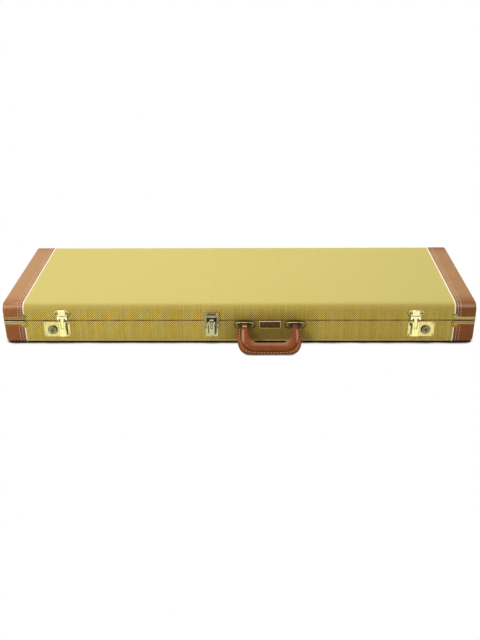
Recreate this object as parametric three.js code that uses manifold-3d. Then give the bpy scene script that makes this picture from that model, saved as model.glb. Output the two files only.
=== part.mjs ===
// A rectangular tweed case for an electric guitar, closed and lying flat.
// Millimetres, +Z up. The origin is the centre of the underside, +X runs along the length,
// the hinges are on the +Y side and the handle and the latches face -Y.
import * as THREE from 'three';
import { mergeVertices } from 'three/addons/utils/BufferGeometryUtils.js';
import Module from 'manifold-3d';

const wasm = await Module();
wasm.setup();

// Driving dimensions of the box
const caseLength = 1054;
const caseWidth = 354;
const caseHeight = 96.2;
const seamHeight = 57.1;
const baseEdgeRadius = 12;
const lidEdgeRadius = 20;
const baseEndRadius = 12;
const lidEndRadius = 5;
const cornerRadius = 6;
const wallThickness = 9;
const panelThickness = 5;

// Clearances and the overrun of every cut
const fit = 0.3;
const overrun = 2;

// Trim of the ends
const leatherThickness = 1.2;
const leatherEndLength = 44.7;
const pipingWidth = 2.7;
const pipingProud = 1.3;

// Places that several pieces share
const front = -caseWidth / 2;
const back = caseWidth / 2;
const baseRim = seamHeight - fit / 2;
const lidRim = seamHeight + fit / 2;
const skinDepth = leatherThickness + fit;
const leatherStart = caseLength / 2 - leatherEndLength;
const pipingStart = leatherStart - fit - pipingWidth;
const insideHalfLength = caseLength / 2 - wallThickness;
const insideHalfWidth = caseWidth / 2 - wallThickness;

const finish = (color, roughness, metalness = 0) =>
  new THREE.MeshStandardMaterial({ color, roughness, metalness });
const tweed = finish(0xc2ad5c, 0.85);
const leather = finish(0x97613a, 0.5);
const pipingVinyl = finish(0xf0e8d2, 0.5);
const railBrass = finish(0x9f8c52, 0.4, 0.9);
const latchBrass = finish(0xe6d68f, 0.25, 1);
const nickel = finish(0xc9c8b4, 0.25, 1);
const agedBrass = finish(0x6b5a2c, 0.4, 0.9);
const badgeMaroon = finish(0x5b2e25, 0.4, 0.3);
const plush = finish(0xb5642c, 0.95);

const object = new THREE.Group();

// Shapes and solids

function solidOf(geometry) {
  const plain = geometry.clone();
  plain.deleteAttribute('normal');
  plain.deleteAttribute('uv');
  const merged = mergeVertices(plain);
  const mesh = new wasm.Mesh({
    numProp: 3,
    vertProperties: new Float32Array(merged.attributes.position.array),
    triVerts: new Uint32Array(merged.index.array),
  });
  return new wasm.Manifold(mesh);
}

function geometryOf(solid) {
  const mesh = solid.getMesh();
  const geometry = new THREE.BufferGeometry();
  geometry.setAttribute('position', new THREE.BufferAttribute(mesh.vertProperties, 3));
  geometry.setIndex(new THREE.BufferAttribute(mesh.triVerts, 1));
  return geometry;
}

function piece(name, solid, material) {
  const mesh = new THREE.Mesh(geometryOf(solid), material);
  mesh.name = name;
  object.add(mesh);
  return mesh;
}

const join = (first, ...others) => others.reduce((whole, next) => whole.add(next), first);
const cut = (first, ...others) => others.reduce((whole, next) => whole.subtract(next), first);

const polygon = (points) => new THREE.Shape(points.map(([a, b]) => new THREE.Vector2(a, b)));

function circle(a, b, radius) {
  return new THREE.Shape().absarc(a, b, radius, 0, Math.PI * 2);
}

// A rectangle with one radius for its low corners and one for its high corners
function roundedRectangle(left, right, low, high, lowRadius, highRadius = lowRadius) {
  const shape = new THREE.Shape();
  shape.absarc(left + lowRadius, low + lowRadius, lowRadius, Math.PI, Math.PI * 1.5);
  shape.absarc(right - lowRadius, low + lowRadius, lowRadius, Math.PI * 1.5, Math.PI * 2);
  shape.absarc(right - highRadius, high - highRadius, highRadius, 0, Math.PI / 2);
  shape.absarc(left + highRadius, high - highRadius, highRadius, Math.PI / 2, Math.PI);
  return shape;
}

const directions = [
  new THREE.Vector3(1, 0, 0),
  new THREE.Vector3(0, 1, 0),
  new THREE.Vector3(0, 0, 1),
];
const turnTo = {
  x: new THREE.Matrix4().makeBasis(directions[1], directions[2], directions[0]),
  y: new THREE.Matrix4().makeBasis(directions[0], directions[2], directions[1].clone().negate()),
  z: new THREE.Matrix4(),
};

// An outline drawn in the plane across an axis (y and z, x and z, or x and y) and carried along it
function prism(shape, axis, start, end, curveSegments = 4) {
  const geometry = new THREE.ExtrudeGeometry(shape, {
    depth: end - start, bevelEnabled: false, curveSegments,
  });
  geometry.translate(0, 0, axis === 'y' ? -end : start);
  geometry.applyMatrix4(turnTo[axis]);
  return solidOf(geometry);
}

const rod = (axis, start, end, a, b, radius, curveSegments = 8) =>
  prism(circle(a, b, radius), axis, start, end, curveSegments);

function block(x0, x1, y0, y1, z0, z1) {
  const geometry = new THREE.BoxGeometry(x1 - x0, y1 - y0, z1 - z0);
  geometry.translate((x0 + x1) / 2, (y0 + y1) / 2, (z0 + z1) / 2);
  return solidOf(geometry);
}

// The outer form of the closed case, drawn in by an inset on every side
function caseForm(inset) {
  const halfLength = caseLength / 2 - inset;
  const halfWidth = caseWidth / 2 - inset;
  const top = caseHeight - inset;
  const section = roundedRectangle(
    -halfWidth, halfWidth, inset, top, baseEdgeRadius - inset, lidEdgeRadius - inset);
  const profile = roundedRectangle(
    -halfLength, halfLength, inset, top, baseEndRadius - inset, lidEndRadius - inset);
  const plan = roundedRectangle(-halfLength, halfLength, -halfWidth, halfWidth, cornerRadius - inset);
  return prism(section, 'x', -halfLength - overrun, halfLength + overrun, 3)
    .intersect(prism(profile, 'y', -halfWidth - overrun, halfWidth + overrun, 3))
    .intersect(prism(plan, 'z', inset - overrun, top + overrun, 2));
}

// A slab across the whole case between two heights, and one past a distance on one side
const slab = (low, high) => block(-caseLength, caseLength, -caseWidth, caseWidth, low, high);
const beyond = (side, distance, limit = caseLength) =>
  block(Math.min(side * distance, side * limit), Math.max(side * distance, side * limit),
    -caseWidth, caseWidth, -caseHeight, caseHeight * 2);

const belowSeam = () => slab(-caseHeight, baseRim);
const aboveSeam = () => slab(lidRim, caseHeight * 2);

// The plywood shells under their tweed

const lidInsideRadius = lidEdgeRadius - wallThickness;

function baseHollow(inset, top) {
  return block(-insideHalfLength + inset, insideHalfLength - inset,
    -insideHalfWidth + inset, insideHalfWidth - inset, panelThickness + inset, top);
}

function lidHollow(inset, low) {
  const section = roundedRectangle(-insideHalfWidth + inset, insideHalfWidth - inset, low,
    caseHeight - panelThickness - inset, fit, lidInsideRadius - inset);
  return prism(section, 'x', -insideHalfLength + inset, insideHalfLength - inset, 3);
}

function shells() {
  const middle = block(-pipingStart + fit, pipingStart - fit, -caseWidth, caseWidth,
    -caseHeight, caseHeight * 2);
  const form = join(caseForm(0).intersect(middle), caseForm(skinDepth));
  piece('base_shell', cut(form.intersect(belowSeam()), baseHollow(0, seamHeight + overrun)), tweed);
  piece('lid_shell', cut(form.intersect(aboveSeam()), lidHollow(0, lidRim - overrun)), tweed);
}

// Brass rails at the seam of the leather ends

const railThickness = 1.2;
const baseRailDrop = 1.3;
const baseRailWidth = 7.6;
const baseLobeRadius = 7.95;
const lidRailRise = 2.5;
const lidRailWidth = 6.5;
const lidLobeRadius = 6.2;
const lobeSetback = 0.1;
const rivetRadius = 2;
const rivetHeight = 0.7;
const lobeX = leatherStart + lobeSetback;
const baseRailHigh = seamHeight - baseRailDrop;
const baseRailLow = baseRailHigh - baseRailWidth;
const lidRailLow = seamHeight + lidRailRise;
const lidRailHigh = lidRailLow + lidRailWidth;
const baseLobeHeight = baseRailHigh - baseLobeRadius;
const lidLobeHeight = lidRailLow + lidLobeRadius;

function rail(side, low, high, lobeZ, lobeRadius) {
  const outer = -fit - railThickness;
  const wall = cut(caseForm(outer), caseForm(-fit));
  const band = wall.intersect(slab(low, high)).intersect(beyond(side, lobeX));
  const lobes = [-1, 1].flatMap((way) => {
    const near = way * (back + fit);
    const far = way * (back - outer);
    const head = way * (back - outer + rivetHeight);
    return [
      rod('y', Math.min(near, far), Math.max(near, far), side * lobeX, lobeZ, lobeRadius),
      rod('y', Math.min(near, head), Math.max(near, head), side * lobeX, lobeZ, rivetRadius, 6),
    ];
  });
  return join(band, ...lobes);
}

// Leather ends, cream piping and rails, for one side and one half of the case

const baseLobeLow = baseLobeHeight - baseLobeRadius;
const lidLobeHigh = lidLobeHeight + lidLobeRadius;

function endTrim(side, sideName) {
  const skin = cut(caseForm(0), caseForm(leatherThickness)).intersect(beyond(side, leatherStart));
  piece(`base_leather_${sideName}`, skin.intersect(belowSeam()), leather);
  piece(`lid_leather_${sideName}`, skin.intersect(aboveSeam()), leather);

  const ring = cut(caseForm(-pipingProud), caseForm(leatherThickness))
    .intersect(beyond(side, pipingStart, pipingStart + pipingWidth));
  piece(`base_piping_${sideName}`, ring.intersect(slab(0, baseLobeLow - fit)), pipingVinyl);
  piece(`lid_piping_${sideName}`,
    ring.intersect(slab(lidLobeHigh + fit, caseHeight * 2)), pipingVinyl);

  piece(`base_rail_${sideName}`,
    rail(side, baseRailLow, baseRailHigh, baseLobeHeight, baseLobeRadius), railBrass);
  piece(`lid_rail_${sideName}`,
    rail(side, lidRailLow, lidRailHigh, lidLobeHeight, lidLobeRadius), railBrass);
}

// Hinges on the back, each with two leaves and a pin

const hingeLength = 60;
const hingeLeafHeight = 26;
const hingeLeafThickness = 1.2;
const knuckleRadius = 3.2;
const hingePinRadius = 1.5;
const hingePinPlay = 0.2;
const knuckleShare = 0.25;
const hingeAxisOut = 3.8;
const hingeAxisY = back + hingeAxisOut;
const hingeInset = 102.3;
const hingeX = leatherStart - hingeInset;
const hingePlaces = { left: -hingeX, middle: 0, right: hingeX };

function hinge(name, x) {
  const half = hingeLength / 2;
  const inner = half - hingeLength * knuckleShare;
  const leafNear = back + fit;
  const leafFar = leafNear + hingeLeafThickness;
  const knuckle = (from, to) => rod('x', from, to, hingeAxisY, seamHeight, knuckleRadius);
  const bore = rod('x', x - half - overrun, x + half + overrun, hingeAxisY, seamHeight,
    hingePinRadius + hingePinPlay);
  const clear = (from, to) => rod('x', from, to, hingeAxisY, seamHeight, knuckleRadius + fit);

  const baseLeaf = block(x - half, x + half, leafNear, leafFar,
    seamHeight - hingeLeafHeight, seamHeight - fit);
  piece(`hinge_${name}_base_leaf`, cut(
    join(cut(baseLeaf, clear(x - inner - fit, x + inner + fit)),
      knuckle(x - half, x - inner - fit), knuckle(x + inner + fit, x + half)),
    bore), railBrass);

  const lidLeaf = block(x - half, x + half, leafNear, leafFar,
    seamHeight + fit, seamHeight + hingeLeafHeight);
  piece(`hinge_${name}_lid_leaf`, cut(
    join(cut(lidLeaf, clear(x - half - overrun, x - inner), clear(x + inner, x + half + overrun)),
      knuckle(x - inner, x + inner)),
    bore), railBrass);

  piece(`hinge_${name}_pin`,
    rod('x', x - half, x + half, hingeAxisY, seamHeight, hingePinRadius), nickel);
}

// Latches on the front. Sizes named out are measured outwards from the front face

const latchPlateThickness = 1.2;
const latchPlateFace = fit + latchPlateThickness;
const latchPlateDrop = 2.8;
const latchPlateHeight = 36.6;
const latchPivotOut = 5.6;
const latchPivotDrop = 3.9;
const latchPivotRadius = 1.5;
const latchPivotPlay = 0.25;
const latchEarRadius = 3.3;
const latchEarThickness = 1.4;
const leverCheekThickness = 1.2;
const leverCheekRadius = 3.4;
const leverFaceOut = 7.4;
const leverFaceThickness = 1.2;
const leverTopAbovePivot = 2.2;
const leverLipRise = 5.3;
const leverLipOut = 1.8;
const linkPivotOut = 4.9;
const linkDrop = 8;
const linkPinRadius = 1;
const linkPinPlay = 0.15;
const linkEyePlay = 0.25;
const linkEyeRadius = 2.1;
const linkEyeSetback = 0.4;
const linkHeadOut = 2;
const linkNeckOut = 6.6;
const linkThickness = 1.2;
const linkHeelRise = 4;
const linkBendLift = 1.4;
const linkBendRise = 4;
const leverSlotPlay = 0.4;
const leverSlotDrop = 6.2;
const latchPlateHigh = seamHeight - latchPlateDrop;
const latchPlateLow = latchPlateHigh - latchPlateHeight;
const latchPivotHeight = seamHeight - latchPivotDrop;
const linkBendLow = latchPivotHeight + linkBendLift;
const linkBendHigh = linkBendLow + linkBendRise;
const linkPivotHeight = latchPivotHeight - linkDrop;

// A point of a front piece, from its distance out and its height
const outward = ([out, height]) => [front - out, height];
const frontProfile = (points) => polygon(points.map(outward));
const frontRod = (start, end, out, height, radius, curveSegments) =>
  rod('x', start, end, front - out, height, radius, curveSegments);
const frontBlock = (x0, x1, out0, out1, z0, z1) => block(x0, x1, front - out1, front - out0, z0, z1);
const frontPlate = (shape, out0, out1) => prism(shape, 'y', front - out1, front - out0);

// The plate screwed to the base, with its two ears and the pivot stubs riveted in them
function latchPlate(latch) {
  const { x, left, right, low, high, leverWidth } = latch;
  const plate = frontPlate(roundedRectangle(left, right, low, high, latch.plateCorner),
    fit, latchPlateFace);
  const ears = [-1, 1].flatMap((way) => {
    const inner = x + way * (leverWidth / 2 + fit);
    const outer = inner + way * latchEarThickness;
    const stub = x + way * (leverWidth / 2 - leverCheekThickness - latchPivotPlay);
    const [from, to] = [Math.min(inner, outer), Math.max(inner, outer)];
    return [
      frontRod(from, to, latchPivotOut, latchPivotHeight, latchEarRadius),
      frontBlock(from, to, fit, latchPivotOut, latchPivotHeight - latchEarRadius * 2,
        latchPivotHeight),
      frontRod(Math.min(stub, outer), Math.max(stub, outer), latchPivotOut, latchPivotHeight,
        latchPivotRadius),
    ];
  });
  return join(plate, ...ears);
}

function latchLever(latch) {
  const { x, leverWidth, leverLow } = latch;
  const top = latchPivotHeight + leverTopAbovePivot;
  const faceFar = leverFaceOut + leverFaceThickness;
  const face = prism(frontProfile([
    [leverFaceOut, top], [faceFar, top], [faceFar, leverLow + leverLipRise],
    [faceFar + leverLipOut, leverLow], [leverFaceOut + leverLipOut, leverLow],
    [leverFaceOut, leverLow + leverLipRise],
  ]), 'x', x - leverWidth / 2, x + leverWidth / 2);
  const cheeks = [-1, 1].flatMap((way) => {
    const outer = x + way * leverWidth / 2;
    const inner = outer - way * leverCheekThickness;
    const [from, to] = [Math.min(inner, outer), Math.max(inner, outer)];
    const web = prism(frontProfile([
      [latchPivotOut - leverCheekRadius, latchPivotHeight],
      [linkPivotOut - leverCheekRadius + fit, linkPivotHeight],
      [leverFaceOut, leverLow + leverLipRise * 2],
      [faceFar - fit, leverLow + leverLipRise * 2],
      [faceFar - fit, top], [latchPivotOut, top],
    ]), 'x', from, to);
    return [web,
      frontRod(from, to, latchPivotOut, latchPivotHeight, leverCheekRadius),
      frontRod(from, to, linkPivotOut, linkPivotHeight, leverCheekRadius - fit)];
  });
  const wide = [x - leverWidth, x + leverWidth];
  // The fork that lets the link swing out through the lever's face
  const slotHalf = latch.neckWidth / 2 + leverSlotPlay;
  return cut(join(face, ...cheeks),
    frontBlock(x - slotHalf, x + slotHalf, linkPivotOut, faceFar + overrun,
      linkPivotHeight - leverSlotDrop, top + overrun),
    frontRod(...wide, latchPivotOut, latchPivotHeight, latchPivotRadius + latchPivotPlay),
    frontRod(...wide, linkPivotOut, linkPivotHeight, linkPinRadius + linkPinPlay));
}

// The link that hangs on the lever and whose cross head draws the lid down
function latchLink(latch) {
  const { x, leverWidth, neckWidth, headWidth, headLow, headHigh } = latch;
  const eyeHalf = leverWidth / 2 - leverCheekThickness - linkEyeSetback;
  const headFar = linkHeadOut + linkThickness;
  const neckFar = linkNeckOut + linkThickness;
  const neck = prism(frontProfile([
    [linkPivotOut - linkThickness, linkPivotHeight + linkEyeRadius / 2],
    [linkPivotOut + linkEyeRadius / 2, linkPivotHeight],
    [neckFar, linkPivotHeight + linkEyeRadius], [neckFar, linkBendLow + linkThickness / 2],
    [headFar, linkBendHigh + linkThickness / 2], [headFar, headHigh], [linkHeadOut, headHigh],
    [linkHeadOut, linkBendHigh], [linkNeckOut, linkBendLow],
    [linkNeckOut, linkPivotHeight + linkHeelRise],
  ]), 'x', x - neckWidth / 2, x + neckWidth / 2);
  const head = frontPlate(roundedRectangle(x - headWidth / 2, x + headWidth / 2,
    headLow, headHigh, latch.headCorner), linkHeadOut, headFar);
  const eye = frontRod(x - eyeHalf, x + eyeHalf, linkPivotOut, linkPivotHeight, linkEyeRadius);
  const bore = frontRod(x - leverWidth, x + leverWidth, linkPivotOut, linkPivotHeight,
    linkPinRadius + linkEyePlay);
  return cut(join(neck, head, eye), bore);
}

function latchMovingPieces(latch) {
  const { name, x, leverWidth, material } = latch;
  piece(`${name}_lever`, latchLever(latch), material);
  piece(`${name}_link`, latchLink(latch), material);
  piece(`${name}_link_pin`, frontRod(x - leverWidth / 2, x + leverWidth / 2,
    linkPivotOut, linkPivotHeight, linkPinRadius), material);
}

// The two key latches, alike but for the side that their locks are on

const lockLatchInset = 87.8;
const lockLatchX = leatherStart - lockLatchInset;
const lockPlateInboard = 15.4;
const lockPlateOutboard = 43.3;
const lockPlateCorner = 2;
const lockLeverWidth = 13.6;
const lockLeverLength = 31.5;
const lockNeckWidth = 6.6;
const lockHeadWidth = 23;
const lockHeadGap = 2.1;
const lockHeadHeight = 8.3;
const lockHeadCorner = 1.5;
const lockOffset = 24;
const lockRise = 16.8;
const lockRingRadius = 10.3;
const lockRingOut = 4.3;
const lockPlugRadius = 7.2;
const lockPlugOut = 5;
const keySlotWidth = 1.6;
const keySlotLength = 8;
const keySlotDepth = 2;
const crownGap = 1.2;
const crownWaistRise = 8.2;
const crownWingRise = 16.7;
const crownShoulderRise = 19.9;
const crownTopRise = 23.7;
const crownWaistHalf = 11.4;
const crownWingHalf = 18.6;
const crownShoulderHalf = 16;
const crownTopHalf = 10;
const crownProud = 3.2;
const lockLeverLow = latchPivotHeight - lockLeverLength;
const lockHeadLow = seamHeight + lockHeadGap;
const lockHeadHigh = lockHeadLow + lockHeadHeight;
const lockHeight = latchPlateLow + lockRise;
const crownLow = seamHeight + crownGap;

function crownOutline(x) {
  const right = [
    [crownWaistHalf, 0], [crownWaistHalf, crownWaistRise], [crownWingHalf, crownWingRise],
    [crownShoulderHalf, crownShoulderRise], [crownTopHalf, crownTopRise],
  ];
  const left = right.map(([half, rise]) => [-half, rise]).reverse();
  return polygon([...right, ...left].map(([half, rise]) => [x + half, crownLow + rise]));
}

function lockLatch(side, sideName) {
  const x = side * lockLatchX;
  const edges = [x - side * lockPlateInboard, x + side * lockPlateOutboard];
  const latch = {
    name: `${sideName}_latch`, x, material: latchBrass,
    left: Math.min(...edges), right: Math.max(...edges), low: latchPlateLow, high: latchPlateHigh,
    plateCorner: lockPlateCorner, leverWidth: lockLeverWidth, leverLow: lockLeverLow,
    neckWidth: lockNeckWidth, headWidth: lockHeadWidth, headLow: lockHeadLow,
    headHigh: lockHeadHigh, headCorner: lockHeadCorner,
  };
  const lockX = x + side * lockOffset;
  const ring = cut(
    rod('y', front - lockRingOut, front - fit, lockX, lockHeight, lockRingRadius, 12),
    rod('y', front - lockRingOut - overrun, front - latchPlateFace, lockX, lockHeight,
      lockPlugRadius + fit, 12));
  piece(`${latch.name}_plate`, join(latchPlate(latch), ring), latchBrass);

  const plug = rod('y', front - lockPlugOut, front - latchPlateFace - fit, lockX, lockHeight,
    lockPlugRadius, 12);
  const slot = frontBlock(lockX - keySlotWidth / 2, lockX + keySlotWidth / 2,
    lockPlugOut - keySlotDepth, lockPlugOut + overrun,
    lockHeight - keySlotLength / 2, lockHeight + keySlotLength / 2);
  piece(`${latch.name}_lock_plug`, cut(plug, slot), nickel);
  latchMovingPieces(latch);

  const crown = frontPlate(crownOutline(x), fit, crownProud);
  const recess = frontBlock(x - latch.headWidth, x + latch.headWidth, latchPlateFace,
    crownProud + overrun, crownLow - overrun, latch.headHigh + fit);
  piece(`${latch.name}_keeper`, cut(crown, recess), latchBrass);
}

// The draw latch near the middle, without a lock

const middleLatchX = -59.4;
const middlePlateHalf = 13.6;
const middlePlateCorner = 1.5;
const middleLeverWidth = 12.1;
const middleLeverLength = 27.8;
const middleNeckWidth = 5;
const middleHeadWidth = 18.7;
const middleHeadGap = 7.9;
const middleHeadHeight = 4.4;
const middleHeadCorner = 1;
const keeperHalf = 15.9;
const keeperGap = 0.9;
const keeperHeight = 18.8;
const keeperBarHeight = 6.8;
const keeperRailWidth = 4.6;
const keeperProud = 4.2;
const keeperCorner = 1.5;
const middleLeverLow = latchPivotHeight - middleLeverLength;
const middleHeadLow = seamHeight + middleHeadGap;
const middleHeadHigh = middleHeadLow + middleHeadHeight;
const keeperLow = seamHeight + keeperGap;
const keeperHigh = keeperLow + keeperHeight;

function middleLatch() {
  const x = middleLatchX;
  const latch = {
    name: 'middle_latch', x, material: nickel,
    left: x - middlePlateHalf, right: x + middlePlateHalf, low: latchPlateLow, high: latchPlateHigh,
    plateCorner: middlePlateCorner, leverWidth: middleLeverWidth, leverLow: middleLeverLow,
    neckWidth: middleNeckWidth, headWidth: middleHeadWidth, headLow: middleHeadLow,
    headHigh: middleHeadHigh, headCorner: middleHeadCorner,
  };
  piece('middle_latch_plate', latchPlate(latch), nickel);
  latchMovingPieces(latch);
  const frame = frontPlate(roundedRectangle(x - keeperHalf, x + keeperHalf, keeperLow, keeperHigh,
    keeperCorner), fit, keeperProud);
  const pocket = frontBlock(x - keeperHalf + keeperRailWidth, x + keeperHalf - keeperRailWidth,
    latchPlateFace, keeperProud + overrun, keeperLow - overrun, keeperHigh - keeperBarHeight);
  piece('middle_latch_keeper', cut(frame, pocket), nickel);
}

// The handle, stored drooping until its outer edge meets the table

const handleX = 70.7;
const handleArmOffset = 56.5;
const handlePivotOut = 8;
const handlePivotDrop = 8.5;
const handleRestHeight = 1.6765;
const handleEyeRadius = 4.4;
const handleBarRadius = 2.2;
const handleArmHalf = 8;
const handleArmDepth = 6.2;
const handleGripHalf = 10.5;
const handleGripDepth = 10;
const handleGripReach = 53;
const handleBend = 25;
const handleFlangeHalf = 70.3;
const handleFlangeReach = 73;
const handleFlangeBend = 41;
const handleFlangeStart = 11;
const handleFlangeThickness = 3;
const handlePivotHeight = seamHeight - handlePivotDrop;
const handleDroop = Math.asin((handlePivotHeight - handleRestHeight) / handleFlangeReach);
const sweepSides = 14;
const armSteps = 4;
const bendSteps = 7;

// Stations of the grip's middle line from one end to the other: place, direction and arm share,
// which is 1 at the bars and 0 along the grip
function handleStations() {
  const straight = handleGripReach - handleBend;
  const stations = [];
  for (let step = 0; step <= armSteps; step += 1) {
    const share = step / armSteps;
    stations.push({ at: [-handleArmOffset, share * straight], turn: 0, arm: 1 - share });
  }
  for (let step = 1; step <= bendSteps; step += 1) {
    const turn = (step / bendSteps) * Math.PI / 2;
    stations.push({
      at: [-handleArmOffset + handleBend * (1 - Math.cos(turn)), straight + handleBend * Math.sin(turn)],
      turn, arm: 0,
    });
  }
  const mirrored = stations.map(({ at, turn, arm }) => ({
    at: [-at[0], at[1]], turn: Math.PI - turn, arm,
  }));
  return [...stations, ...mirrored.reverse()];
}

// Halves of the oval section at a station: across the handle's plane and through it
function handleSection(arm) {
  const ease = arm * arm * (3 - 2 * arm);
  return {
    across: THREE.MathUtils.lerp(handleGripHalf, handleArmHalf, ease),
    through: THREE.MathUtils.lerp(handleGripDepth, handleArmDepth, Math.sqrt(ease)),
  };
}

function handleSweep() {
  const stations = handleStations();
  const positions = [];
  const indices = [];
  stations.forEach(({ at, turn, arm }) => {
    const { across, through } = handleSection(arm);
    for (let side = 0; side < sweepSides; side += 1) {
      const angle = (side / sweepSides) * Math.PI * 2;
      const reach = across * Math.cos(angle);
      positions.push(at[0] + reach * Math.cos(turn), at[1] - reach * Math.sin(turn),
        through * Math.sin(angle));
    }
  });
  for (let ring = 0; ring + 1 < stations.length; ring += 1) {
    for (let side = 0; side < sweepSides; side += 1) {
      const next = (side + 1) % sweepSides;
      const [a, b] = [ring * sweepSides + side, ring * sweepSides + next];
      const [c, d] = [a + sweepSides, b + sweepSides];
      indices.push(a, c, b, b, c, d);
    }
  }
  const last = (stations.length - 1) * sweepSides;
  for (let side = 1; side + 1 < sweepSides; side += 1) {
    indices.push(0, side, side + 1, last, last + side + 1, last + side);
  }
  const geometry = new THREE.BufferGeometry();
  geometry.setAttribute('position', new THREE.Float32BufferAttribute(positions, 3));
  geometry.setIndex(indices);
  return solidOf(geometry);
}

// The U of two leather edges sewn together round the outside of the grip
function handleFlange() {
  const u = (half, reach, bend) => {
    const shape = new THREE.Shape();
    shape.moveTo(-half, handleFlangeStart);
    shape.absarc(-half + bend, reach - bend, bend, Math.PI, Math.PI / 2, true);
    shape.absarc(half - bend, reach - bend, bend, Math.PI / 2, 0, true);
    shape.lineTo(half, handleFlangeStart);
    return shape;
  };
  const depth = handleFlangeThickness / 2;
  return cut(prism(u(handleFlangeHalf, handleFlangeReach, handleFlangeBend), 'z', -depth, depth, 6),
    prism(u(handleArmOffset, handleGripReach, handleBend), 'z', -depth - overrun, depth + overrun));
}

function handle() {
  const ends = [-1, 1].map((way) => {
    const x = way * handleArmOffset;
    return rod('x', x - handleArmHalf, x + handleArmHalf, 0, 0, handleEyeRadius);
  });
  const bores = [-1, 1].map((way) => {
    const x = way * handleArmOffset;
    return rod('x', x - handleArmHalf - overrun, x + handleArmHalf + overrun, 0, 0,
      handleBarRadius + fit);
  });
  // The arms come out of the eyes no thicker than them
  const trimmed = handleSweep().intersect(block(-caseLength, caseLength,
    -handleBarRadius, handleFlangeReach * 2, -handleGripDepth * 2, handleGripDepth * 2));
  const neckCut = (way) => [-1, 1].map((face) => {
    const x = way * handleArmOffset;
    const near = face * handleEyeRadius;
    const far = face * handleGripDepth;
    return block(x - handleArmHalf - overrun, x + handleArmHalf + overrun,
      -handleEyeRadius * 2, handleEyeRadius * 2, Math.min(near, far), Math.max(near, far));
  });
  const solid = cut(join(trimmed, handleFlange(), ...ends), ...bores, ...neckCut(-1), ...neckCut(1));
  const mesh = piece('handle_grip', solid, leather);
  mesh.position.set(handleX, front - handlePivotOut, handlePivotHeight);
  const down = new THREE.Vector3(0, -Math.cos(handleDroop), -Math.sin(handleDroop));
  const through = new THREE.Vector3().crossVectors(directions[0], down);
  mesh.setRotationFromMatrix(new THREE.Matrix4().makeBasis(directions[0], down, through));
}

// The caps that hold the handle's ends, each with an arch over its bar

const mountHalf = 24;
const mountHeight = 18.5;
const mountThickness = 1.5;
const mountEarThickness = 1.6;
const mountEarGap = 0.5;
const archInner = 5;
const archOuter = 6.4;
const archFrom = THREE.MathUtils.degToRad(80);
const archTo = THREE.MathUtils.degToRad(150);
const mountRivetOffset = 17;
const mountRivetRadius = 3;
const mountRivetHeight = 1.4;
const mountHigh = handlePivotHeight + archOuter;
const mountLow = mountHigh - mountHeight;

function handleMount(name, x) {
  const face = fit + mountThickness;
  const middle = (mountLow + mountHigh) / 2;
  const plate = frontPlate(roundedRectangle(x - mountHalf, x + mountHalf, mountLow, mountHigh,
    (mountHigh - mountLow) / 2 - fit), fit, face);
  const earNear = handleArmHalf + mountEarGap;
  const earFar = earNear + mountEarThickness;
  const ears = [-1, 1].flatMap((way) => {
    const [from, to] = way > 0 ? [x + earNear, x + earFar] : [x - earFar, x - earNear];
    return [frontRod(from, to, handlePivotOut, handlePivotHeight, archInner),
      frontBlock(from, to, fit, handlePivotOut, handlePivotHeight - archInner, mountHigh - fit)];
  });
  const rivets = [-1, 1].map((way) => rod('y', front - face - mountRivetHeight, front - fit,
    x + way * mountRivetOffset, middle, mountRivetRadius, 6));
  const bar = frontRod(x - earFar, x + earFar, handlePivotOut, handlePivotHeight, handleBarRadius);
  // The arch's angles run from straight out, over the top, towards the case
  const arch = new THREE.Shape();
  arch.absarc(front - handlePivotOut, handlePivotHeight, archOuter, Math.PI - archFrom,
    Math.PI - archTo, true);
  arch.absarc(front - handlePivotOut, handlePivotHeight, archInner, Math.PI - archTo,
    Math.PI - archFrom);
  const cap = prism(arch, 'x', x - earFar, x + earFar);
  piece(name, join(plate, cap, bar, ...ears, ...rivets), agedBrass);
}

// The bare plate between the caps

const badgeHalf = 24.3;
const badgeHeight = 17.3;
const badgeThickness = 1.5;
const badgeCorner = 3;
const badgeFrame = 1.6;
const badgeFieldDepth = 0.5;
const badgeHigh = mountHigh;
const badgeLow = badgeHigh - badgeHeight;

function badge() {
  const x = handleX;
  const plate = frontPlate(roundedRectangle(x - badgeHalf, x + badgeHalf, badgeLow, badgeHigh,
    badgeCorner), fit, fit + badgeThickness);
  const field = frontPlate(roundedRectangle(x - badgeHalf + badgeFrame, x + badgeHalf - badgeFrame,
    badgeLow + badgeFrame, badgeHigh - badgeFrame, badgeCorner - badgeFrame),
  fit + badgeThickness - badgeFieldDepth, badgeThickness + overrun);
  piece('badge_plate', cut(plate, field), badgeMaroon);
}

// Glides on the back, which keep the hinges off the floor when the case stands on that side

const glideInset = 42.3;
const glideX = leatherStart - glideInset;
const glideRadius = 9;
const glideHeight = 8.6;
const glideRimHeight = 1.2;
const glideCrownRadius = 4;
const glideShoulder = 6;
const baseGlideDrop = 27.1;
const lidGlideRise = 10.9;

function glide(name, x, height) {
  const profile = [[0, 0], [glideRadius, 0], [glideRadius, glideRimHeight],
    [glideRadius - glideRimHeight, glideShoulder], [glideCrownRadius, glideHeight], [0, glideHeight]];
  const geometry = new THREE.LatheGeometry(profile.map(([r, y]) => new THREE.Vector2(r, y)), 20);
  const solid = solidOf(geometry);
  const mesh = piece(name, solid, nickel);
  mesh.position.set(x, back + fit, height);
}

// The inside: plush linings, pads, the neck rest and the compartment for small things

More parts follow.
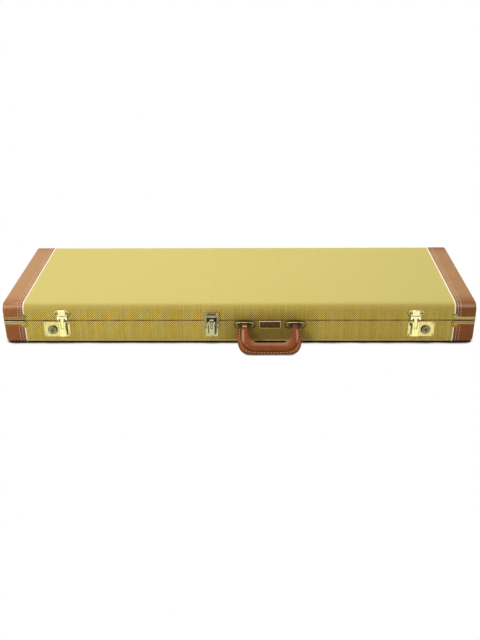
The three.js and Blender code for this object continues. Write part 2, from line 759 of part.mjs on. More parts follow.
const liningThickness = 2.5;
const liningSetback = 1;
const liningInset = fit + liningThickness;
const padHalfLength = insideHalfLength - liningInset - fit;
const padHalfWidth = insideHalfWidth - liningInset - fit;
const floorPadThickness = 5;
const floorPadCorner = 4;
const lidPadThickness = 6;
const lidPadMargin = 10;
const padsLow = panelThickness + liningInset + fit + floorPadThickness + fit;
const neckBlockStart = -40;
const neckBlockEnd = 330;
const neckHalf = 45;
const blockSetback = 11.1;
const blockCorner = 6;
const compartmentWall = 6;
const flapThickness = 4;
const flapEdge = 2;
const tabWidth = 24;
const tabLength = 26;
const tabOverhang = 9;
const tabThickness = 1.2;
const neckRestX = 205;
const neckRestWidth = 50;
const neckRestStart = neckRestX - neckRestWidth / 2;
const neckRestSetback = 8;
const neckNotchRadius = 40;
const neckNotchDepth = 10;
const waistX = -225;
const waistHalf = 75;
const waistDepth = 36;
const waistSetback = 7.1;
const blockHigh = seamHeight - blockSetback;
const neckRestHigh = blockHigh - neckRestSetback;
const waistHigh = seamHeight - waistSetback;

function linings() {
  const top = baseRim - liningSetback;
  piece('base_lining', cut(baseHollow(fit, top), baseHollow(liningInset, top + overrun)), plush);
  const low = lidRim + liningSetback;
  piece('lid_lining', cut(lidHollow(fit, low), lidHollow(liningInset, low - overrun)), plush);

  const floorLow = panelThickness + liningInset + fit;
  piece('floor_pad', prism(roundedRectangle(-padHalfLength, padHalfLength, -padHalfWidth,
    padHalfWidth, floorPadCorner), 'z', floorLow, floorLow + floorPadThickness, 2), plush);
  const lidPadHigh = caseHeight - panelThickness - liningInset - fit;
  const halfLength = padHalfLength - lidPadMargin;
  const halfWidth = padHalfWidth - lidPadMargin;
  piece('lid_pad', prism(roundedRectangle(-halfLength, halfLength, -halfWidth, halfWidth,
    floorPadCorner), 'z', lidPadHigh - lidPadThickness, lidPadHigh, 2), plush);
}

function compartment() {
  const outline = (inset) => roundedRectangle(neckBlockStart + inset, neckBlockEnd - inset,
    neckHalf + inset, padHalfWidth - inset, Math.max(blockCorner - inset, fit));
  piece('compartment_walls', cut(prism(outline(0), 'z', padsLow, blockHigh, 2),
    prism(outline(compartmentWall), 'z', padsLow - overrun, blockHigh + overrun, 2)), plush);

  // The flap turns on its cloth hinge along the back wall
  const flapLow = blockHigh + fit;
  const flapHigh = flapLow + flapThickness;
  const flapBack = padHalfWidth - flapEdge - fit;
  const leaf = roundedRectangle(neckHalf, flapBack + flapThickness / 2, flapLow, flapHigh,
    flapThickness / 2 - fit / 2);
  piece('compartment_flap', prism(leaf, 'x', neckBlockStart, neckBlockEnd, 3), plush);
  const middle = (neckBlockStart + neckBlockEnd) / 2;
  piece('compartment_tab', prism(roundedRectangle(middle - tabWidth / 2, middle + tabWidth / 2,
    neckHalf - tabOverhang, neckHalf - tabOverhang + tabLength, blockCorner),
  'z', flapHigh + fit, flapHigh + fit + tabThickness), leather);
}

function pads() {
  piece('front_block', prism(roundedRectangle(neckBlockStart, neckBlockEnd, -padHalfWidth,
    -neckHalf, blockCorner), 'z', padsLow, blockHigh, 2), plush);

  const restHalf = neckHalf - fit;
  const rest = prism(polygon([[-restHalf, padsLow], [restHalf, padsLow], [restHalf, neckRestHigh],
    [-restHalf, neckRestHigh]]), 'x', neckRestStart, neckRestStart + neckRestWidth);
  const notch = rod('x', neckRestStart - overrun, neckRestStart + neckRestWidth + overrun,
    0, neckRestHigh - neckNotchDepth + neckNotchRadius, neckNotchRadius, 16);
  piece('neck_rest', cut(rest, notch), plush);

  // A pad on each side, curved to the waist of the guitar's body
  const radius = (waistHalf * waistHalf + waistDepth * waistDepth) / (2 * waistDepth);
  ['front', 'back'].forEach((sideName) => {
    const way = sideName === 'front' ? -1 : 1;
    const edge = block(waistX - waistHalf, waistX + waistHalf,
      Math.min(way * padHalfWidth, way * (padHalfWidth - waistDepth - overrun)),
      Math.max(way * padHalfWidth, way * (padHalfWidth - waistDepth - overrun)),
      padsLow, waistHigh);
    const bulge = rod('z', padsLow - overrun, waistHigh + overrun, waistX,
      way * (padHalfWidth - waistDepth + radius), radius, 24);
    piece(`waist_pad_${sideName}`, edge.intersect(bulge), plush);
  });
}

shells();
endTrim(-1, 'left');
endTrim(1, 'right');
Object.entries(hingePlaces).forEach(([name, x]) => hinge(name, x));
lockLatch(-1, 'left');
lockLatch(1, 'right');
middleLatch();
handle();
handleMount('handle_mount_left', handleX - handleArmOffset);
handleMount('handle_mount_right', handleX + handleArmOffset);
badge();
glide('base_glide_left', -glideX, seamHeight - baseGlideDrop);
glide('base_glide_right', glideX, seamHeight - baseGlideDrop);
glide('lid_glide_left', -glideX, seamHeight + lidGlideRise);
glide('lid_glide_right', glideX, seamHeight + lidGlideRise);
linings();
compartment();
pads();

export default object;
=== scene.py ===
# %% [markdown]
# # A tweed guitar case
# Plywood under lacquered tweed, leather ends edged with cream piping, brass fittings and a leather handle. The
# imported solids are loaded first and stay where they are; each piece made here is laid over one of them.

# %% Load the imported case
import functools
import math

import bmesh
import bpy
import numpy as np
from mathutils import Matrix, Vector


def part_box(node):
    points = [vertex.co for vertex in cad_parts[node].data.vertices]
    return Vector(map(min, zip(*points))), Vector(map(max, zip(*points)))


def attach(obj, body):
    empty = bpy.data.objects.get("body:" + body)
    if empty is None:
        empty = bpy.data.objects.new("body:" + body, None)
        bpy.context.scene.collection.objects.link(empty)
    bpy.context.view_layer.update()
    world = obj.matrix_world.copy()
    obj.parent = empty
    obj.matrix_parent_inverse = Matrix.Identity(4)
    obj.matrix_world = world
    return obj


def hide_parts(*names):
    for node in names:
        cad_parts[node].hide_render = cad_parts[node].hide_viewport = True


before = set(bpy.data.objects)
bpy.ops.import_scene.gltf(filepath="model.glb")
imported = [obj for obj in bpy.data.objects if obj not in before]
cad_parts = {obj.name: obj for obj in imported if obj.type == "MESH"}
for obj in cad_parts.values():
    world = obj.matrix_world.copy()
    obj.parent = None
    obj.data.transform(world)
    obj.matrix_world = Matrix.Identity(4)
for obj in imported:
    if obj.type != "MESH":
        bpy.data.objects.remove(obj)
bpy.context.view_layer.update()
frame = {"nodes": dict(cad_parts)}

nodes, scene = frame["nodes"], bpy.context.scene


def placed(name, data):
    made = bpy.data.objects.new(name, data)
    scene.collection.objects.link(made)
    return made


# %% [markdown]
# The photograph was taken from the front and a little above, by a camera that leaned by half a degree. A camera
# looks along its own -Z, so its three axes are written straight into a matrix.

# %% Camera
yaw, pitch, roll = (math.radians(a) for a in (-1.128, 26.778, -0.556))
camera_place, lens, sensor = (0.0352, -1.7749, 0.8644), 45.06, 36
ahead = Vector((math.sin(yaw) * math.cos(pitch), math.cos(yaw) * math.cos(pitch), -math.sin(pitch)))
level = Vector((math.cos(yaw), -math.sin(yaw), 0))
upright = level.cross(ahead)
across = level * math.cos(roll) + upright * math.sin(roll)
above = upright * math.cos(roll) - level * math.sin(roll)

camera = scene.camera = placed("camera", bpy.data.cameras.new("camera"))
camera.data.lens, camera.data.sensor_width = lens, sensor
camera.matrix_world = Matrix.Translation(camera_place) @ Matrix((across, above, -ahead)).transposed().to_4x4()
print("camera looks along", [round(a, 3) for a in ahead])

# %% [markdown]
# Materials are written as sums. A Wire is one socket, and adding or multiplying wires adds the Math nodes, so
# that a weave reads like its formula. Every other node comes from Paint.node: its kind, sockets and settings.

# %% Shader sums
def add_node(tree, kind, sockets=None, **settings):
    made = tree.nodes.new(kind)
    for key, value in settings.items():
        setattr(made, key, value)
    for key, value in (sockets or {}).items():
        value = getattr(value, "socket", value)
        if isinstance(value, bpy.types.NodeSocket):
            tree.links.new(value, made.inputs[key])
        else:
            made.inputs[key].default_value = value
    return made.outputs


class Wire:
    def __init__(self, paint, socket):
        self.paint, self.socket = paint, socket

    def __abs__(self):
        return self.paint.sum("ABSOLUTE", self)


def operator(kind, swapped):
    return lambda self, other: self.paint.sum(kind, *((other, self) if swapped else (self, other)))


for sign, kind in (("add", "ADD"), ("sub", "SUBTRACT"), ("mul", "MULTIPLY"), ("truediv", "DIVIDE"), ("pow", "POWER")):
    setattr(Wire, f"__{sign}__", operator(kind, False))
    setattr(Wire, f"__r{sign}__", operator(kind, True))


class Paint:
    def __init__(self, name, owner=None, **constants):
        self.material = owner or bpy.data.materials.new(name)
        self.material.use_nodes = True
        self.tree = self.material.node_tree
        self.shader = self.tree.nodes.get("Principled BSDF")
        for socket, value in constants.items():
            self.shader.inputs[socket.replace("_", " ")].default_value = value

    def node(self, kind, sockets=None, out=0, **settings):
        return Wire(self, add_node(self.tree, f"ShaderNode{kind}", sockets, **settings)[out])

    def sum(self, operation, *values):
        return self.node("Math", dict(enumerate(values)), operation=operation)

    @property
    def place(self):
        return self.node("TexCoord", out="Object")

    def split(self, vector):
        return [self.node("SeparateXYZ", {0: vector}, k) for k in range(3)]

    def noise(self, scale, detail=2, rough=0.5, at=None, stretch=None):
        at = at or self.place
        if stretch:
            at = self.node("Mapping", {"Vector": at, "Scale": stretch})
        return self.node("TexNoise", {"Vector": at, "Scale": scale, "Detail": detail, "Roughness": rough})

    def between(self, value, low, high, first=0, last=1):
        limits = {"Value": value, "From Min": low, "From Max": high, "To Min": first, "To Max": last}
        return self.node("MapRange", limits, interpolation_type="SMOOTHSTEP")

    def fade(self, value, low, high, share=1):
        return self.between(value, low, high, share, 0)

    def mix(self, share, first, second, blend="MIX"):
        full = [c if isinstance(c, Wire) else (*c, 1) for c in (first, second)]
        return self.node("Mix", {0: share, 6: full[0], 7: full[1]}, 2, data_type="RGBA", blend_type=blend)

    def layered(self, colour, *layers):
        """Lays (share, colour) over one another, from the bottom up."""
        for share, tint, *blend in layers:
            colour = self.mix(share, colour, tint, *blend)
        return colour

    def into(self, socket, value):
        self.tree.links.new(value.socket, self.shader.inputs[socket])

    def finished(self, colour, height, distance, strength, roughness=None):
        self.into("Base Color", colour)
        if roughness is not None:
            self.into("Roughness", roughness)
        self.into("Normal", self.node("Bump", {"Height": height, "Distance": distance, "Strength": strength}))
        return self.material


def times(colour, factor):
    return tuple(min(c * factor, 1) for c in colour)


print("shader sums ready")

# %% [markdown]
# The cloth is a plain weave of straw and brown yarns under amber lacquer. The product of two cosines is positive
# where a straw yarn lies on top, which gives the checks. It follows the cloth's UV map, in metres.

# %% Lacquered tweed
yarn_pitch, dash_scale, twist_scale = 0.00246, 0.00072, 0.00009
seam_height, handle_shadow_x = 0.0571, 0.062


def tweed_paint():
    paint = Paint("lacquered tweed", Specular_IOR_Level=0.2, Coat_Weight=0.05, Coat_Roughness=0.35)
    cloth = paint.node("UVMap", uv_map="cloth")
    along, around, _ = paint.split(cloth)
    across, back_at, height = paint.split(paint.place)
    warp, weft = along / yarn_pitch, around / yarn_pitch
    wave = paint.sum("COSINE", warp * math.pi)
    weave = wave * paint.sum("COSINE", weft * math.pi)
    column, row = (paint.node("TexWhiteNoise", {"W": yarn}, noise_dimensions="1D")
                   for yarn in (paint.sum("ROUND", warp), paint.sum("ROUND", weft) + 7.3))
    straw = paint.mix(column, (0.79, 0.575, 0.08), (0.96, 0.735, 0.14))
    brown = paint.mix(row, (0.06, 0.02, 0.002), (0.125, 0.052, 0.004))
    slub = paint.noise(420, at=cloth, stretch=(1, 0.12, 1))
    amber = paint.between(paint.noise(5, 3), 0.42, 0.7)
    upper_edge = paint.between(height, 0.07, 0.088, 0, 0.62) * paint.between(abs(across), 0.15, 0.34)
    ribs = paint.between(height, 0.074, 0.088) * paint.between(wave, -0.6, 0.6)
    # painted shadow of the handle: the front darkens round it
    painted_handle_shadow = paint.fade(abs(across - handle_shadow_x), 0.045, 0.14)
    painted_handle_shadow = painted_handle_shadow * paint.fade(height, 0.05, 0.092) * paint.fade(back_at, -0.1752, -0.17)
    folded = paint.fade(abs(height - seam_height), 0.0009, 0.0021) * paint.between(abs(back_at), 0.1752, 0.1764)
    dashes = paint.between(paint.sum("SINE", along / dash_scale), -0.6, 0.5, 0.5, 1)
    colour = paint.layered(
        brown, (paint.between(weave, -0.2, 0.08), straw),
        (paint.between(slub, 0.35, 0.75) * 0.18, (0.8, 0.64, 0.16)),
        (amber * 0.14, (0.42, 0.24, 0.02)),
        (paint.between(height, 0.0805, 0.088, 0, 0.55), (0.53, 0.39, 0.09)),
        (upper_edge, (0.53, 0.39, 0.09)),
        # painted sheen: the top is paler
        (paint.between(height, 0.0898, 0.0966) * 0.66, (0.695, 0.615, 0.187)),
        (ribs * 0.22, (0.38, 0.29, 0.045)),
        # painted shadow round the handle
        (painted_handle_shadow * 0.64, (0.28, 0.22, 0.1), "MULTIPLY"),
        (folded * dashes, (0.085, 0.032, 0.006)),
        # painted bounce light from the floor: a brighter tan band near the bottom
        (paint.fade(height, 0.006, 0.01, 0.85), (1, 0.74, 0.24)),
        # painted contact shade: near-black along the bottom edge
        (paint.fade(height, 0.001, 0.003, 0.85), (0.05, 0.03, 0.006)))
    twist = paint.sum("SINE", (along + around) / twist_scale)
    return paint.finished(colour, abs(weave) ** 0.6 + twist * 0.06 + slub * 0.2, 0.00022, 0.55,
                          0.46 + paint.noise(900, at=cloth) * 0.16 + amber * 0.05)


tweed = tweed_paint()
print("made", tweed.name)

# %% [markdown]
# The leather is smooth cowhide, dyed reddish brown and waxed. On the ends the UV map holds the distance from the
# sewn edge, so the two sewing lines are pressed in and darkened where they really run.

# %% Leathers
sewing_lines = {"base": (0.0054, 0.012), "lid": (0.0046, 0.0106)}


def leather_paint(name, dark, light, sewn=(), sheen_colour=None, coat=0.28, right_end_shade=0, highlight_middle_x=None):
    paint = Paint(name, Specular_IOR_Level=0.16, Coat_Weight=coat, Coat_Roughness=0.16)
    across, back_at, tall_at = paint.split(paint.place)
    pores = paint.node("TexVoronoi", {"Vector": paint.place, "Scale": 950})
    cloud, streak = paint.noise(28, 4, 0.6), paint.noise(120, 3, stretch=(1, 1, 0.35))
    height = pores * 0.5 + cloud * 1.5
    layers = [(paint.between(cloud, 0.3, 0.72), light), (paint.between(streak, 0.5, 0.75) * 0.3, dark),
              (paint.fade(pores, 0, 0.35, 0.35), times(dark, 0.6))]
    if sewn:
        from_edge = paint.split(paint.node("UVMap", uv_map="cloth"))[0]
        for line in sewn:
            press = paint.fade(abs(from_edge - line), 0, 0.0016)
            layers.append((press * 0.45, times(dark, 0.55)))
            height = height - press * 2
        layers += [(paint.fade(from_edge, 0, 0.0015) * 0.4, times(light, 1.35)),
                   # painted shade, growing towards the right end
                   (paint.between(across, -0.5, 0.5) * right_end_shade, times(dark, 0.4))]
        paint.into("Coat Weight", paint.between(across, -0.5, 0.5, coat, 0.08))
    if sheen_colour:
        # painted sheen: the top of the lid's ends is paler, most in the middle
        painted_sheen = paint.between(tall_at, 0.086, 0.0966) * paint.between(cloud, 0.2, 0.8, 0.8, 1)
        painted_sheen = painted_sheen * paint.between(abs(back_at), 0.115, 0.164, 1, 0.3)
        # painted highlight along the rounded top edge
        painted_highlight = paint.fade(abs(tall_at - 0.09), 0.0008, 0.0042, 0.42)
        layers += [(painted_sheen * 0.82, sheen_colour), (painted_highlight, (0.66, 0.4, 0.27))]
    if highlight_middle_x:
        # painted highlights along the outer sides of the arms and along the top of the grip
        beside = abs(across - highlight_middle_x)
        painted_arm_highlight = paint.fade(abs(beside - 0.0602), 0.0006, 0.0044, 0.66)
        painted_arm_highlight = painted_arm_highlight * paint.between(tall_at, 0.018, 0.027) * paint.fade(tall_at, 0.041, 0.046)
        painted_grip_highlight = paint.between(tall_at, 0.0185, 0.0215) * paint.fade(beside, 0.036, 0.046)
        # painted shade on the lower part of the grip
        layers += [(painted_arm_highlight, (0.58, 0.31, 0.18)), (paint.fade(tall_at, 0.0045, 0.0145, 0.42), times(dark, 0.5)),
                   (painted_grip_highlight * 0.3, (0.5, 0.23, 0.105))]
    return paint.finished(paint.layered(dark, *layers), height, 0.00016, 0.55,
                          0.36 + cloud * 0.14 + pores * 0.08)


# For each half: dark, light, the colour of the painted sheen on top, and the share of painted shade at the right end
end_leather = {half: leather_paint(f"end leather of the {half}", dark, light, sewing_lines[half], pale, 0.28, right_end_shade)
               for half, dark, light, pale, right_end_shade in (
                   ("base", (0.265, 0.071, 0.012), (0.345, 0.101, 0.018), None, 0.18),
                   ("lid", (0.3, 0.092, 0.016), (0.4, 0.134, 0.026), (0.47, 0.24, 0.08), 0.46))}
handle_leather = leather_paint("handle leather", (0.185, 0.044, 0.005), (0.27, 0.072, 0.009), coat=0.07,
                               highlight_middle_x=0.0707)
# painted shade: near-black leather for the arms' eyes under the mounts
eye_shade_leather = leather_paint("leather in the folds", (0.022, 0.008, 0.003), (0.04, 0.014, 0.005))
# painted shade for the crease between the grip and its flange
crease_shade_leather = leather_paint("leather in the creases", (0.075, 0.02, 0.003), (0.11, 0.03, 0.005), coat=0)
tab_leather = leather_paint("tab leather", (0.22, 0.062, 0.018), (0.3, 0.094, 0.028))
raw_edge = leather_paint("raw leather edge", (0.62, 0.3, 0.07), (0.8, 0.42, 0.12))
print("made", end_leather["lid"].name, "and", handle_leather.name)

# %% [markdown]
# The piping is cream vinyl over a cord, a little grubby. The thread is waxed linen, with a slanting twist.

# %% Piping and thread
def piping_paint():
    paint = Paint("cream piping", Coat_Weight=0.3, Coat_Roughness=0.2)
    grime = paint.between(paint.noise(60, 4, 0.65), 0.5, 0.8)
    colour = paint.mix(grime * 0.3, (1, 0.93, 0.72), (0.76, 0.62, 0.38))
    return paint.finished(colour, paint.noise(1400), 0.00006, 0.4, 0.34 + grime * 0.2)


def thread_paint(name, dark, light, twist_scale=0.00014):
    paint = Paint(name, Roughness=0.62)
    x, y, z = paint.split(paint.place)
    twist = paint.sum("SINE", (x + y + z) / twist_scale)
    return paint.finished(paint.mix(paint.noise(240), dark, light), twist, 0.00008, 0.5)


piping_vinyl = piping_paint()
thread = thread_paint("waxed thread", (0.64, 0.5, 0.34), (0.88, 0.77, 0.58))
brown_thread = thread_paint("browned thread", (0.52, 0.3, 0.15), (0.78, 0.53, 0.32))
print("made", piping_vinyl.name, "and", thread.name)

# %% [markdown]
# The fittings are pressed metal, all from one function: a base metal, tarnish that gathers in clouds, scratches
# along one direction, and roughness that rises where the metal is dull.

# %% Metals
def metal_paint(name, bright, dull, rough, tarnish=0.4, metallic=1):
    paint = Paint(name, Metallic=metallic)
    cloud = paint.between(paint.noise(140, 5, 0.65), 0.38, 0.72)
    spots = paint.between(paint.noise(900, 2, 0.6), 0.6, 0.78)
    lines = paint.noise(500, 3, 0.7, stretch=(1, 1, 14))
    dirt = cloud * tarnish + spots * (tarnish * 0.5)
    return paint.finished(paint.mix(dirt, bright, dull), lines + cloud * 0.6, 0.00003, 0.35,
                          rough + cloud * 0.12 + lines * 0.08)


latch_brass = metal_paint("polished brass", (0.86, 0.76, 0.3), (0.48, 0.36, 0.12), 0.22, 0.5)
lever_brass = metal_paint("lever brass", (0.98, 0.95, 0.42), (0.86, 0.74, 0.26), 0.2, 0.25)
rail_brass = metal_paint("rail brass", (0.42, 0.33, 0.11), (0.24, 0.17, 0.05), 0.3, 0.6)
brown_brass = metal_paint("browned brass", (0.31, 0.225, 0.075), (0.13, 0.08, 0.028), 0.32, 0.6)
wing_brass = metal_paint("wing brass", (0.56, 0.43, 0.17), (0.26, 0.15, 0.06), 0.3, 0.6)
tanned_brass = metal_paint("tanned brass", (0.36, 0.215, 0.062), (0.18, 0.095, 0.028), 0.3, 0.5)
verdigris = metal_paint("verdigris", (0.4, 0.56, 0.4), (0.22, 0.33, 0.24), 0.4, 0.5, 0.6)
aged_brass = metal_paint("aged brass", (0.13, 0.094, 0.026), (0.034, 0.022, 0.008), 0.34, 0.7)
arch_brass = metal_paint("rubbed brass", (0.58, 0.5, 0.17), (0.3, 0.22, 0.07), 0.28, 0.4)
pale_brass = metal_paint("pale brass", (0.86, 0.78, 0.36), (0.58, 0.47, 0.18), 0.24, 0.3)
nickel = metal_paint("nickel plate", (0.4, 0.37, 0.2), (0.18, 0.15, 0.07), 0.24, 0.6)
pale_nickel = metal_paint("rubbed nickel", (0.58, 0.55, 0.28), (0.36, 0.33, 0.16), 0.2, 0.4)
dark_nickel = metal_paint("dark nickel", (0.115, 0.1, 0.05), (0.03, 0.024, 0.012), 0.3, 0.6)
grey_nickel = metal_paint("grey nickel", (0.255, 0.225, 0.125), (0.11, 0.09, 0.048), 0.32, 0.6)
# painted highlight: near-white brass for bright reflections
highlight_brass = metal_paint("bright brass", (1, 0.96, 0.86), (0.9, 0.78, 0.5), 0.16, 0.2)
# painted shade: near-black for openings, gaps, holes and flanks
shadow_metal = metal_paint("black opening", (0.012, 0.008, 0.005), (0.006, 0.004, 0.003), 0.7, 0.5, 0)
brown_shadow = metal_paint("brown shadow", (0.085, 0.036, 0.006), (0.04, 0.018, 0.004), 0.6, 0.5, 0)
print("metals made:", 17)

# %% [markdown]
# The badge's field is maroon enamel, fired a little uneven. Plush is a short pile, darker where it lies over, so
# its colour and bump come from the same two noises: the fine pile, and a wide stretched swirl.

# %% Enamel and plush
def enamel_paint():
    paint = Paint("maroon enamel", Specular_IOR_Level=0.2, Coat_Weight=0.12, Coat_Roughness=0.15)
    cloud = paint.noise(320, 4, 0.6)
    colour = paint.mix(paint.between(cloud, 0.35, 0.7), (0.046, 0.013, 0.004), (0.165, 0.066, 0.016))
    return paint.finished(colour, cloud, 0.00008, 0.5, 0.3 + cloud * 0.2)


def plush_paint(name, dark, light):
    paint = Paint(name, Roughness=0.95, Sheen_Weight=0.2, Sheen_Roughness=0.45)
    pile, swirl = paint.noise(1500, 2, 0.7), paint.noise(34, 4, 0.6, stretch=(1, 0.6, 1))
    colour = paint.layered(dark, (paint.between(swirl, 0.35, 0.7), light),
                           (paint.between(pile, 0.35, 0.7) * 0.4, times(dark, 0.55)))
    return paint.finished(colour, pile + swirl * 2, 0.0006, 0.6)


enamel = enamel_paint()
plush = plush_paint("orange plush", (0.42, 0.12, 0.022), (0.6, 0.205, 0.045))
plush_lid = plush_paint("orange plush of the lid", (0.44, 0.128, 0.024), (0.62, 0.215, 0.048))
print("made", enamel.name, "and", plush.name)

# %% [markdown]
# Meshes are made from points in millimetres. Edges sharper than an angle stay sharp, the rest shade smoothly. A
# stack joins rings of equal count into one closed body: nearly everything turned, swept or domed is a stack.

# %% Mesh helpers
mm = 0.001


def shaded(mesh, sharp):
    work = bmesh.new()
    work.from_mesh(mesh)
    bmesh.ops.remove_doubles(work, verts=work.verts, dist=1e-7)
    bmesh.ops.recalc_face_normals(work, faces=work.faces)
    for face in work.faces:
        face.smooth = True
    for edge in work.edges:
        edge.smooth = edge.is_manifold and edge.calc_face_angle() < math.radians(sharp)
    work.to_mesh(mesh)
    work.free()


def build(name, points, faces, material, uvs=None, sharp=38):
    mesh = bpy.data.meshes.new(name)
    mesh.from_pydata([Vector(p) * mm for p in points], [], faces)
    if uvs:
        layer = mesh.uv_layers.new(name="cloth")
        for loop in mesh.loops:
            layer.data[loop.index].uv = [c * mm for c in uvs[loop.vertex_index]]
    shaded(mesh, sharp)
    mesh.materials.append(material)
    return placed(name, mesh)


def angles(first, last, steps):
    return [math.radians(first + (last - first) * k / steps) for k in range(steps + 1)]


def circle(radius, count, height=0):
    return [(radius * math.cos(a), radius * math.sin(a), height)
            for a in (2 * math.pi * k / count for k in range(count))]


def quads(rows, count, start=0, ring=False):
    faces = []
    for r in range(rows - 1):
        for k in range(count if ring else count - 1):
            a, b = (start + r * count + j for j in (k, (k + 1) % count))
            faces.append((a, b, b + count, a + count))
    return faces


def stack(name, rings, material, sharp=38, closed=True):
    rows, count = len(rings), len(rings[0])
    faces = quads(rows, count, ring=True)
    if closed:
        faces += [tuple(reversed(range(count))), tuple(range((rows - 1) * count, rows * count))]
    return build(name, [p for ring in rings for p in ring], faces, material, None, sharp)


def settle(piece, body, slot, *stands_for):
    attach(piece, body)
    if stands_for:
        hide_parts(*stands_for)
    return piece


def joined(name, parts):
    first = parts[0]
    if len(parts) > 1:
        with bpy.context.temp_override(active_object=first, object=first, selected_objects=parts,
                                       selected_editable_objects=parts):
            bpy.ops.object.join()
    first.name = first.data.name = name
    return first


def fit_together(name, parts, body, slot, *stands_for):
    return settle(joined(name, parts), body, slot, *stands_for)


def plain_copy(made):
    name, old = made.name, made.data
    mesh = bpy.data.meshes.new_from_object(made.evaluated_get(bpy.context.evaluated_depsgraph_get()))
    copy = placed(name, mesh)
    bpy.data.objects.remove(made)
    bpy.data.meshes.remove(old)
    copy.name = mesh.name = name
    return copy


print("mesh helpers ready")

# %% [markdown]
# Many fittings have the right shape in the imported solids, but with razor-sharp edges. A softened copy rolls them
# over and takes the finish, and its flanks can be painted dark as shade. The solid itself is left alone and hidden.

# %% Softened copies of solids
bevel_angle = math.radians(33)


def softened(node, width, material, segments=2):
    work = bmesh.new()
    work.from_mesh(nodes[node].data)
    bmesh.ops.remove_doubles(work, verts=work.verts, dist=2e-6)
    bmesh.ops.dissolve_limit(work, angle_limit=math.radians(0.6), verts=work.verts, edges=work.edges)
    edges = [e for e in work.edges if e.is_manifold and e.calc_face_angle() > bevel_angle]
    bmesh.ops.bevel(work, geom=edges, offset=width * mm, offset_type="OFFSET", segments=segments,
                    profile=0.5, affect="EDGES", clamp_overlap=True)
    mesh = bpy.data.meshes.new(node)
    work.to_mesh(mesh)
    work.free()
    shaded(mesh, 40)
    mesh.materials.append(material)
    return placed(f"{node}_fine", mesh)


def flank(middle, normal):
    return abs(normal.x) > 0.75 or normal.z < -0.8


def shade_painted(piece, finish, chosen=flank):
    """Gives the faces that chosen picks, by their middle in mm and their normal, another finish: a dark one, painted
    shade.
    """
    piece.data.materials.append(finish)
    for face in piece.data.polygons:
        if chosen(face.center / mm, face.normal):
            face.material_index = len(piece.data.materials) - 1
    return piece


def dress(node, body, slot, width, material, segments=2, dark=None, chosen=flank):
    piece = softened(node, width, material, segments)
    return settle(shade_painted(piece, dark, chosen) if dark else piece, body, slot, node)


print("softened copies ready")

# %% [markdown]
# The case's section is a rectangle with round corners that draws in near the ends. One function gives its line
# at any place, so the tweed, leather, piping and sewing all follow the same form.

# %% The form of the case
length, width, tall, seam, fit = 1054, 354, 96.2, 57.1, 0.3
front_y, back_y = -width / 2, width / 2
leather_edge, piping_middle, plan_corner = 482.3, 480.65, 6
corner_round, end_round = {"base": 12, "lid": 20}, {"base": 12, "lid": 5}
sides = {"left": -1, "right": 1}
bodies, to_seam = {"base": "case_base", "lid": "lid"}, {"base": 1, "lid": -1}
quarters = [(side_name, side, half, body) for side_name, side in sides.items() for half, body in bodies.items()]


def drawn_in(x, radius):
    past = abs(x) - (length / 2 - radius)
    return 0 if past <= 0 else radius - math.sqrt(max(radius ** 2 - past ** 2, 0))


def half_section(x, out, half, wall_steps=6, arc_steps=10, flat_steps=26):
    """Points (y, z) from the front rim round to the back rim, moved outwards by out."""
    side, end, way = drawn_in(x, plan_corner), drawn_in(x, end_round[half]), to_seam[half]
    y = width / 2 - side + out
    corner = max(corner_round[half] - (side + end) / 2 + out, 3)
    flat = end - out if half == "base" else tall - end + out
    rim, bend = seam - way * fit / 2, flat + way * corner
    line = [(-y, rim + (bend - rim) * k / wall_steps) for k in range(wall_steps)]
    line += [(-y + corner * (1 - math.cos(a)), bend - way * corner * math.sin(a)) for a in angles(0, 90, arc_steps)]
    inner = y - corner
    line += [(-inner + 2 * inner * k / flat_steps, flat) for k in range(1, flat_steps)]
    line += [(-p, q) for p, q in reversed(line[:wall_steps + arc_steps + 1])]
    return [(p, max(q, 0)) for p, q in line]


def run_lengths(line):
    return [0, *np.cumsum([math.dist(a, b) for a, b in zip(line, line[1:])])]


def end_places(start):
    near = [0, 0.3, 0.9, 1.7, 2.7, 3.8, 5, 6, 8, 10, 12]
    return [start, *[length / 2 - n for n in reversed(near)]]


print("half section points:", len(half_section(0, 0, "base")))

# %% [markdown]
# Each shell is a tray: an outer bowl in tweed, an inner bowl, and the rim between them, with the cloth turned
# over the rim. Beyond the piping the outer bowl steps in under the leather.

# %% Shells under tweed
def shell(name, half, wall=9, panel=5):
    tray = [(x, 0) for x in (0, 60, 120, 180, 240, 300, 360, 420, 460, 479.2)]
    tray += [(x, -1.5) for x in (479.2, *end_places(500))]
    tray = [(-x, out) for x, out in reversed(tray[1:])] + tray
    points, uvs, faces = [], [], []

    def bowl(rings):
        start, count = len(points), len(rings[0])
        for ring in rings:
            points.extend(p for p, _ in ring)
            uvs.extend(t for _, t in ring)
        faces.extend(quads(len(rings), count, start))
        for first in (start, start + (len(rings) - 1) * count):
            faces.append(tuple(range(first, first + count)))
        return start, count

    outside, inside = [], []
    depth, reach = width / 2 - wall, length / 2 - wall
    rim = seam - to_seam[half] * fit / 2
    floor = panel if half == "base" else tall - panel
    for x, out in tray:
        line = half_section(x, out, half)
        place = math.copysign(min(abs(x), length / 2 + out), x)
        outside.append([((place, y, z), (x, v)) for (y, z), v in zip(line, run_lengths(line))])
        place = max(min(x * reach / (length / 2), reach), -reach)
        line = [(-depth, rim), (-depth, floor), (depth, floor), (depth, rim)]
        inside.append([((place, y, z), (x, -wall - abs(z - rim) - max(y + depth, 0))) for y, z in line])
    (a, count), (b, inner_count) = bowl(outside), bowl(inside)
    for r in range(len(tray) - 1):
        for p, q in ((0, 0), (count - 1, inner_count - 1)):
            i, j = a + r * count + p, b + r * inner_count + q
            faces.append((i, i + count, j + inner_count, j))
    for r in (0, len(tray) - 1):
        i, j = a + r * count, b + r * inner_count
        faces.append((i, i + count - 1, j + inner_count - 1, j))
    return build(name, points, faces, tweed, uvs)


